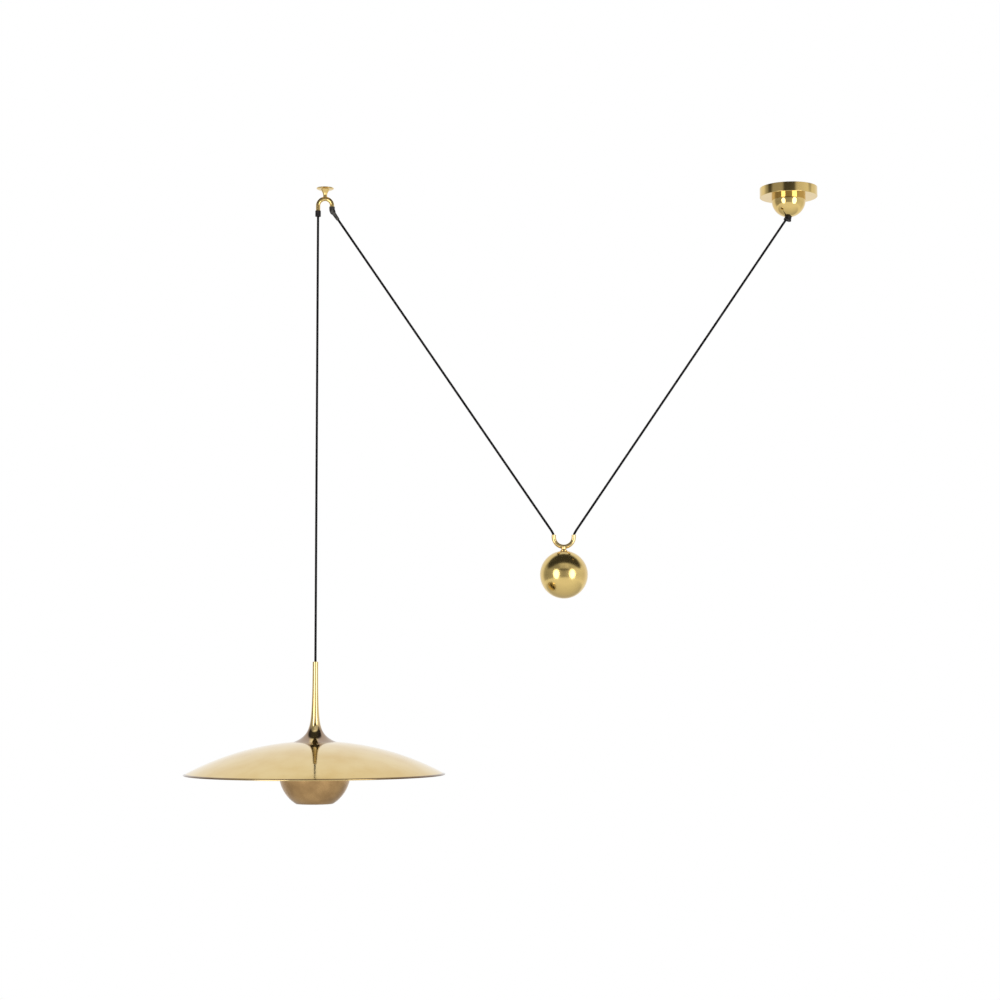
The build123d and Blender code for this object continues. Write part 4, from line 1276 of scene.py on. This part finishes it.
class PENDANT_OT_ceiling_hook(bpy.types.Operator):
    """Turn the rosette and the stem, bend the tube, and fit a sleeve on each end"""

    bl_idname = "pendant.ceiling_hook"
    bl_label = "Ceiling hook"

    def execute(self, context):
        sizes = sizes_of(context)
        brass = finish_named(context, "polished_brass_hook")
        rubber = finish_named(context, "moulded_rubber")
        arch_z = top_of("hook_tube") - sizes.tube_r - sizes.hook_r
        long_end = foot_of("hook_tube")
        plate = -foot_of("hook_rosette")
        hole_r = sizes.spigot_r + FIT
        rosette = Outline("hook_rosette_disc", HOOK_X, 0, (hole_r, 0))
        rosette.line((sizes.rosette_r, 0), (sizes.rosette_r, -sizes.rosette_edge))
        rosette.line((sizes.rosette_r - sizes.rosette_bevel, -plate), (hole_r, -plate), (hole_r, 0))
        seat_piece(rosette.turned(sides=112), "hook_rosette", brass, edge=sizes.fine_edge)
        self.stem(sizes, plate, arch_z, long_end, brass)
        tube = self.bent_tube("hook_bent_tube", sizes, arch_z, long_end, sizes.tube_r).done()
        give_wall(tube, sizes.tube_wall)
        seat_piece(tube, "hook_tube", brass, edge=sizes.turned_edge)
        self.sleeves(sizes, arch_z, long_end, rubber, finish_named(context, "bloomed_rubber"))
        return {"FINISHED"}

    def bent_tube(self, name, sizes, arch_z, long_end, radius):
        """The tube's line: up the long end, over the arch and down the short end."""
        tube = Tube(name, (LAMP_X, 0, long_end), 0, radius)
        tube.run(arch_z - long_end).bend(sizes.hook_r, 180, steps=36)
        return tube.run(sizes.hook_short)

    def stem(self, sizes, plate, arch_z, long_end, brass):
        """Tapered stem, tapped for the ceiling stud and saddled over the tube."""
        cone_end = -plate - sizes.hook_cone
        axis_z = arch_z + sizes.hook_r
        stem = Outline("hook_tapered_stem", HOOK_X, 0, (0, -sizes.stud_depth))
        stem.line((sizes.stud_r, -sizes.stud_depth), (sizes.stud_r, 0), (sizes.spigot_r, 0))
        stem.line((sizes.spigot_r, -plate), (sizes.hook_top_r, -plate))
        waist_r = sizes.hook_waist_r
        stem.corner((waist_r, cone_end), (waist_r, axis_z), sizes.hook_blend, steps=10)
        stem.line((waist_r, axis_z), (0, axis_z))
        piece = stem.turned(sides=72)
        tool = self.bent_tube("stem_cutter", sizes, arch_z, long_end, sizes.tube_r + FIT)
        cut(piece, tool.done(solid=True))
        seat_piece(piece, "hook_stem", brass)

    def sleeves(self, sizes, arch_z, long_end, rubber, bloomed):
        """A straight sleeve above the lamp and a bent one, with a tail, along the cord's leg."""
        lap_r = sizes.tube_r + FIT
        sleeve_r = lap_r + sizes.sleeve_wall
        top = top_of("hook_sleeve_drop")
        foot = foot_of("hook_sleeve_drop")
        drop = Outline("drop_sleeve", LAMP_X, 0, (lap_r, top))
        drop.corner((sleeve_r, top), (sleeve_r, foot), sizes.sleeve_edge)
        drop.corner((sleeve_r, foot), (sizes.sleeve_bore, foot), sizes.sleeve_edge)
        drop.line((sizes.sleeve_bore, foot), (sizes.sleeve_bore, long_end))
        drop.line((lap_r, long_end), (lap_r, top))
        seat_piece(drop.turned(sides=64), "hook_sleeve_drop", rubber)
        short_end = arch_z - sizes.hook_short
        slope = math.degrees(sizes.leg_angle)
        bend_reach = sizes.bend_r * math.tan(sizes.leg_angle / 2)
        start = (HOOK_X + sizes.hook_r, 0, short_end + sizes.sleeve_lap)
        leg = Tube("leg_sleeve", start, 180, sleeve_r)
        leg.run(sizes.sleeve_lap + sizes.hook_bend - bend_reach).bend(sizes.bend_r, -slope, steps=10)
        leg.run(sizes.sleeve_body, sizes.sleeve_waist_r / sleeve_r)
        leg.run(sizes.sleeve_tail, sizes.sleeve_tail_r / sizes.sleeve_waist_r)
        piece = leg.done()
        give_wall(piece, sizes.sleeve_wall)
        seat_piece(piece, "hook_sleeve_leg", bloomed, edge=sizes.sleeve_ease)


class PENDANT_OT_counterweight(bpy.types.Operator):
    """Bend the guide tube, turn the neck and the ball"""

    bl_idname = "pendant.counterweight"
    bl_label = "Counterweight"

    def execute(self, context):
        sizes = sizes_of(context)
        brass = finish_named(context, "polished_brass_guide")
        arch_z = foot_of("guide_tube") + sizes.tube_r + sizes.guide_r
        neck_top = foot_of("guide_tube")
        foot = neck_top - sizes.neck_height
        tube = self.u_tube("guide_u_tube", sizes, arch_z, sizes.tube_r).done()
        give_wall(tube, sizes.tube_wall)
        seat_piece(tube, "guide_tube", brass, edge=sizes.mouth_edge)
        neck = Outline("weight_turned_neck", WEIGHT_X, 0, (0, foot))
        neck.line((sizes.neck_foot_r, foot), (sizes.neck_foot_r, foot + sizes.neck_foot_t))
        flare_z = foot + sizes.neck_foot_t + sizes.neck_flare
        axis_z = neck_top + sizes.tube_r
        neck.corner((sizes.neck_r, flare_z), (sizes.neck_r, axis_z), sizes.neck_blend, steps=8)
        neck.line((sizes.neck_r, axis_z), (0, axis_z))
        piece = neck.turned(sides=72)
        cut(piece, self.u_tube("neck_cutter", sizes, arch_z, sizes.tube_r + FIT).done(solid=True))
        seat_piece(piece, "weight_neck", brass)
        flat = math.sqrt(sizes.ball_r**2 - sizes.neck_foot_r**2)
        ball_z = foot - flat
        sweep = 90 + math.degrees(math.acos(sizes.neck_foot_r / sizes.ball_r))
        ball = Outline("brass_ball", WEIGHT_X, ball_z, (0, -sizes.ball_r))
        ball.arc((0, 0), sweep, steps=110)
        ball.line((0, flat))
        seat_piece(ball.turned(sides=180), "weight_ball", finish_named(context, "polished_brass_weight"))
        return {"FINISHED"}

    def u_tube(self, name, sizes, arch_z, radius):
        """The tube's line: down one end, round the U and up the other."""
        mouth = top_of("guide_tube")
        tube = Tube(name, (WEIGHT_X - sizes.guide_r, 0, mouth), 180, radius)
        tube.run(mouth - arch_z).bend(sizes.guide_r, -180, steps=44)
        return tube.run(mouth - arch_z)


def rim_level(context):
    """Height of the shade's rim plane, that the lamp's own heights count from."""
    sizes = sizes_of(context)
    return top_of("bowl") - sizes.bowl_collar - sizes.bowl_lift


class PENDANT_OT_stem(bpy.types.Operator):
    """Turn the trumpet-shaped stem and the bush in its top"""

    bl_idname = "pendant.stem"
    bl_label = "Stem"

    def execute(self, context):
        sizes = sizes_of(context)
        foot = foot_of("stem_trumpet")
        top = top_of("stem_trumpet") - foot
        bush_r = sizes.sleeve_bore + sizes.bush_wall
        hole_r = bush_r + FIT
        thread_r = sizes.pipe_r + FIT
        bush_foot = top - sizes.bush_length
        steps = 48
        crowding = 1.6  # the steps are shorter towards the flare
        hollow_steps = 16
        stem = Outline("trumpet_stem", LAMP_X, foot, self.point(sizes, 0, 0))
        for i in range(1, steps + 1):
            stem.line(self.point(sizes, top * (i / steps) ** crowding, 0))
        stem.line((hole_r, top), (hole_r, bush_foot), (sizes.stem_bore, bush_foot))
        stem.line((sizes.stem_bore, sizes.stem_shoulder), (thread_r, sizes.stem_shoulder))
        stem.line((thread_r, sizes.flare_hollow))
        for i in range(hollow_steps, -1, -1):
            stem.line(self.point(sizes, sizes.flare_hollow * i / hollow_steps, sizes.flare_wall))
        stem.line(self.point(sizes, 0, 0))
        brass = finish_named(context, "polished_brass_stem")
        seat_piece(stem.turned(sides=128), "stem_trumpet", brass, edge=sizes.turned_edge)
        bush = Outline("cord_bush", LAMP_X, foot, (sizes.sleeve_bore, bush_foot))
        bush.line((bush_r, bush_foot), (bush_r, top))
        bush.line((sizes.sleeve_bore, top), (sizes.sleeve_bore, bush_foot))
        phenolic = finish_named(context, "black_phenolic")
        seat_piece(bush.turned(sides=64), "stem_bush", phenolic, edge=sizes.moulded_edge)
        return {"FINISHED"}

    def point(self, sizes, height, lower):
        """A point of the trumpet's line, a flare and a waist that fall off with the height."""
        flare = sizes.flare_r * math.exp(-(height + lower) / sizes.flare_fall)
        waist = sizes.waist_r * math.exp(-(height + lower) / sizes.waist_fall)
        return (sizes.stem_neck + flare + waist, height)


class PENDANT_OT_shade(bpy.types.Operator):
    """Spin the wide shallow shade with its rolled rim"""

    bl_idname = "pendant.shade"
    bl_label = "Shade"

    def execute(self, context):
        sizes = sizes_of(context)
        radius = (sizes.rim_r**2 + sizes.rise**2) / (2 * sizes.rise)
        centre = (0, sizes.rise - radius)
        inner_r = radius - sizes.shade_wall
        middle_r = radius - sizes.shade_wall / 2
        seat = centre[1] + math.sqrt(radius**2 - sizes.seat_r**2)
        under = seat - sizes.shade_wall
        under_r = math.sqrt(inner_r**2 - (under - centre[1]) ** 2)
        hole_r = sizes.pipe_r + FIT
        bead_x = sizes.rim_r - sizes.bead_r
        rim_angle = math.degrees(math.acos(bead_x / middle_r))
        bead = (bead_x, centre[1] + middle_r * math.sin(math.radians(rim_angle)))
        # The sweep stops where the bead's circle begins
        half_wall = sizes.shade_wall / 2
        reach = math.sqrt(sizes.bead_r**2 - half_wall**2)
        lap = math.degrees(reach / middle_r)
        open_angle = math.degrees(math.atan2(reach, half_wall))
        seat_angle = math.degrees(math.acos(sizes.seat_r / radius))
        under_angle = math.degrees(math.acos(under_r / inner_r))
        shade = Outline("spun_shade", LAMP_X, rim_level(context), (hole_r, seat))
        shade.line((sizes.seat_r, seat))
        shade.arc(centre, rim_angle + lap - seat_angle, steps=64)
        shade.arc(bead, 2 * (open_angle - 180), steps=18)
        start = math.radians(rim_angle + lap)
        shade.line((inner_r * math.cos(start), centre[1] + inner_r * math.sin(start)))
        shade.arc(centre, under_angle - rim_angle - lap, steps=56)
        shade.line((hole_r, under), (hole_r, seat))
        brass = finish_named(context, "polished_brass_shade")
        seat_piece(shade.turned(sides=256), "shade", brass)
        return {"FINISHED"}


class PENDANT_OT_bowl(bpy.types.Operator):
    """Spin the open bowl and set its three screws"""

    bl_idname = "pendant.bowl"
    bl_label = "Bowl"

    def execute(self, context):
        sizes = sizes_of(context)
        centre = (0, sizes.bowl_lift)
        inner_r = sizes.bowl_r - sizes.bowl_wall
        collar = sizes.bowl_lift + sizes.bowl_collar
        lip = math.degrees(math.asin(sizes.bowl_depth / sizes.bowl_r))
        inner_lip = math.degrees(math.asin(sizes.bowl_depth / inner_r))
        mouth = sizes.bowl_lift - sizes.bowl_depth
        bowl = Outline("satin_bowl", LAMP_X, rim_level(context), (inner_r, collar))
        bowl.line((sizes.bowl_r, collar), (sizes.bowl_r, sizes.bowl_lift))
        bowl.arc(centre, -lip, steps=56)
        bowl.line((inner_r * math.cos(math.radians(inner_lip)), mouth))
        bowl.arc(centre, inner_lip, steps=56)
        bowl.line((inner_r, collar))
        satin = finish_named(context, "satin_lacquered_brass")
        seat_piece(bowl.turned(sides=200), "bowl", satin, edge=sizes.moulded_edge)
        self.screws(context, sizes)
        return {"FINISHED"}

    def screws(self, context, sizes):
        """Three slotted screws, modelled once and turned round the bowl."""
        level = rim_level(context) + sizes.bowl_lift + sizes.screw_rise
        slot_length = 4 * sizes.screw_head  # past both sides of the head
        arms = (90, 210, 330)  # degrees round the bowl
        screw = Outline("bowl_screw", 0, 0, (0, -sizes.screw_length))
        screw.line((sizes.screw_shank, -sizes.screw_length), (sizes.screw_shank, 0))
        screw.line((sizes.screw_head, 0))
        screw.corner((sizes.screw_head, sizes.screw_head_t), (0, sizes.screw_head_t), sizes.screw_round)
        screw.line((0, sizes.screw_head_t))
        first = screw.turned(sides=40)
        bpy.ops.object.select_all(action="DESELECT")
        bpy.ops.mesh.primitive_cube_add(size=1, location=(0, 0, sizes.screw_head_t))
        slot = bpy.context.object
        slot.scale = (slot_length, sizes.screw_slot, sizes.screw_head_t)
        bpy.ops.object.transform_apply(location=True, rotation=True, scale=True)
        cut(first, slot)
        copies = []
        for i, degrees in enumerate(arms):
            copy = bpy.data.objects.new(f"bowl_screw_{i}", first.data.copy())
            bpy.context.scene.collection.objects.link(copy)
            tipped = Matrix.Rotation(math.radians(90), 4, "Y")
            moved = Matrix.Translation((sizes.bowl_r, 0, 0)) @ tipped
            turned = Matrix.Rotation(math.radians(degrees), 4, "Z") @ moved
            copy.data.transform(Matrix.Translation((LAMP_X, 0, level)) @ turned)
            copies.append(copy)
        bpy.data.objects.remove(first)
        screws = join(copies)
        screws.name = "bowl_slotted_screws"
        seat_piece(screws, "bowl_screws", finish_named(context, "zinc_plated_steel"))


class PENDANT_OT_lampholder(bpy.types.Operator):
    """Mould the lampholder's cap and its ringed skirt"""

    bl_idname = "pendant.lampholder"
    bl_label = "Lampholder"

    def execute(self, context):
        sizes = sizes_of(context)
        phenolic = finish_named(context, "black_phenolic")
        holder_r = sizes.holder_r
        inner_r = holder_r - sizes.holder_wall
        bore_r = sizes.pipe_r + FIT
        top = top_of("lampholder_cap")
        joint = foot_of("lampholder_cap")
        hub_z = top - sizes.holder_hub
        cap = Outline("holder_cap", LAMP_X, 0, (bore_r, top))
        cap.corner((holder_r, top), (holder_r, joint), sizes.holder_edge, steps=8)
        cap.line((holder_r, joint), (inner_r, joint), (inner_r, hub_z), (bore_r, hub_z), (bore_r, top))
        seat_piece(cap.turned(sides=96), "lampholder_cap", phenolic, edge=sizes.moulded_edge)
        mouth = foot_of("lampholder_skirt")
        seat = foot_of("lampholder_core")
        mouth_r = sizes.bulb_cap_r + FIT
        rings = 7
        plain = 0.2 * (joint - mouth)  # below the rings
        ringed = 0.6 * (joint - mouth)
        step = ringed / rings / 4  # a ring has a slope, a floor, a slope and a land
        skirt = Outline("holder_skirt", LAMP_X, 0, (mouth_r, mouth))
        skirt.line((holder_r, mouth))
        level = mouth + plain
        for _ in range(rings):
            skirt.line((holder_r, level), (holder_r - sizes.rib, level + step))
            skirt.line((holder_r - sizes.rib, level + 2 * step), (holder_r, level + 3 * step))
            level += 4 * step
        skirt.line((holder_r, joint), (inner_r, joint), (inner_r, seat))
        skirt.line((mouth_r, seat), (mouth_r, mouth))
        seat_piece(skirt.turned(sides=96), "lampholder_skirt", phenolic, edge=sizes.fine_edge)
        return {"FINISHED"}


class PENDANT_OT_bulb(bpy.types.Operator):
    """Blow the bulb's globe"""

    bl_idname = "pendant.bulb"
    bl_label = "Bulb"

    def execute(self, context):
        sizes = sizes_of(context)
        top = top_of("bulb_glass")
        globe_z = foot_of("bulb_glass") + sizes.globe_r
        glass = Outline("frosted_globe", LAMP_X, 0, (sizes.globe_neck, top))
        self.wall(glass, sizes.globe_neck, sizes.globe_r, globe_z, sizes.globe_blend)
        piece = glass.turned(sides=96)
        give_wall(piece, sizes.globe_wall)
        seat_piece(piece, "bulb_glass", finish_named(context, "frosted_glass"))
        return {"FINISHED"}

    def wall(self, glass, neck_r, globe_r, globe_z, blend):
        """Neck, blended into the globe, down to its lowest point."""
        out_r = globe_r + blend
        out_x = neck_r + blend
        blend_z = globe_z + math.sqrt(out_r**2 - out_x**2)
        sweep = math.degrees(math.acos(out_x / out_r))
        glass.line((neck_r, blend_z))
        glass.arc((out_x, blend_z), sweep, steps=8)
        glass.arc((0, globe_z), -90 - sweep, steps=40)


class PENDANT_OT_fittings(bpy.types.Operator):
    """Run the supply wires and finish the small fittings in the canopy and under the shade"""

    bl_idname = "pendant.fittings"
    bl_label = "Small fittings"

    def execute(self, context):
        sizes = sizes_of(context)
        routes = {
            "live_wire_vinyl": [
                (-0.0013, 0, -0.0055),
                (-0.0013, 0, -0.003),
                (-0.00704, 0.027, -0.003),
                (-0.00704, 0.027, -0.013),
            ],
            "neutral_wire_vinyl": [
                (0.0013, 0, -0.0055),
                (0.0013, 0, -0.003),
                (0.00704, 0.027, -0.003),
                (0.00704, 0.027, -0.013),
            ],
        }
        for finish, points in routes.items():
            wire = round_cord(finish.replace("_vinyl", ""), smooth_line(points), sizes.wire_r, sides=12)
            seat_piece(wire, "supply_wires", finish_named(context, finish))
        finishes = {
            "zinc_plated_steel": [
                "canopy_bracket",
                "canopy_nuts",
                "terminal_screws",
                "shade_washer",
                "shade_nut",
                "bowl_carrier",
            ],
            "lathe_turned_brass": [
                "canopy_pipe",
                "canopy_cord_stop",
                "stem_cord_stop",
                "centre_pipe",
                "lampholder_contact",
                "bulb_contact",
            ],
            "steatite": ["terminal_block", "lampholder_core"],
            "rolled_aluminium": ["bulb_cap"],
        }
        for finish, nodes in finishes.items():
            for node in nodes:
                mesh = frame["nodes"][node].data
                mesh.materials.clear()
                mesh.materials.append(finish_named(context, finish))
        return {"FINISHED"}


class PENDANT_PT_lamp(bpy.types.Panel):
    """Steps that build the lamp, in order"""

    bl_label = "Pendant lamp"
    bl_idname = "PENDANT_PT_lamp"
    bl_space_type = "VIEW_3D"
    bl_region_type = "UI"
    bl_category = "Lamp"

    def draw(self, context):
        for step in STEPS:
            self.layout.operator(step.bl_idname)
        for group in ("pendant_sizes", "pendant_colours", "pendant_view"):
            values = getattr(context.scene, group)
            for name in values.bl_rna.properties.keys():
                if name not in ("rna_type", "name"):
                    self.layout.prop(values, name)


STEPS = (
    PENDANT_OT_stage,
    PENDANT_OT_cord,
    PENDANT_OT_canopy,
    PENDANT_OT_ceiling_hook,
    PENDANT_OT_counterweight,
    PENDANT_OT_stem,
    PENDANT_OT_shade,
    PENDANT_OT_bowl,
    PENDANT_OT_lampholder,
    PENDANT_OT_bulb,
    PENDANT_OT_fittings,
)
GROUPS = {
    "pendant_sizes": PENDANT_PG_sizes,
    "pendant_colours": PENDANT_PG_colours,
    "pendant_view": PENDANT_PG_view,
}


def register():
    """Make the steps, the panel and the values known to Blender."""
    for kind in (*GROUPS.values(), *STEPS, PENDANT_PT_lamp):
        bpy.utils.register_class(kind)
    for name, group in GROUPS.items():
        setattr(bpy.types.Scene, name, bpy.props.PointerProperty(type=group))


def unregister():
    """Take them away again."""
    for name in GROUPS:
        delattr(bpy.types.Scene, name)
    for kind in reversed((*GROUPS.values(), *STEPS, PENDANT_PT_lamp)):
        bpy.utils.unregister_class(kind)


def main():
    """Build the lamp."""
    register()
    bpy.ops.object.select_all(action="DESELECT")
    bpy.ops.pendant.stage()
    bpy.ops.pendant.cord()
    bpy.ops.pendant.canopy()
    bpy.ops.pendant.ceiling_hook()
    bpy.ops.pendant.counterweight()
    bpy.ops.pendant.stem()
    bpy.ops.pendant.shade()
    bpy.ops.pendant.bowl()
    bpy.ops.pendant.lampholder()
    bpy.ops.pendant.bulb()
    bpy.ops.pendant.fittings()


if __name__ == "__main__":
    main()
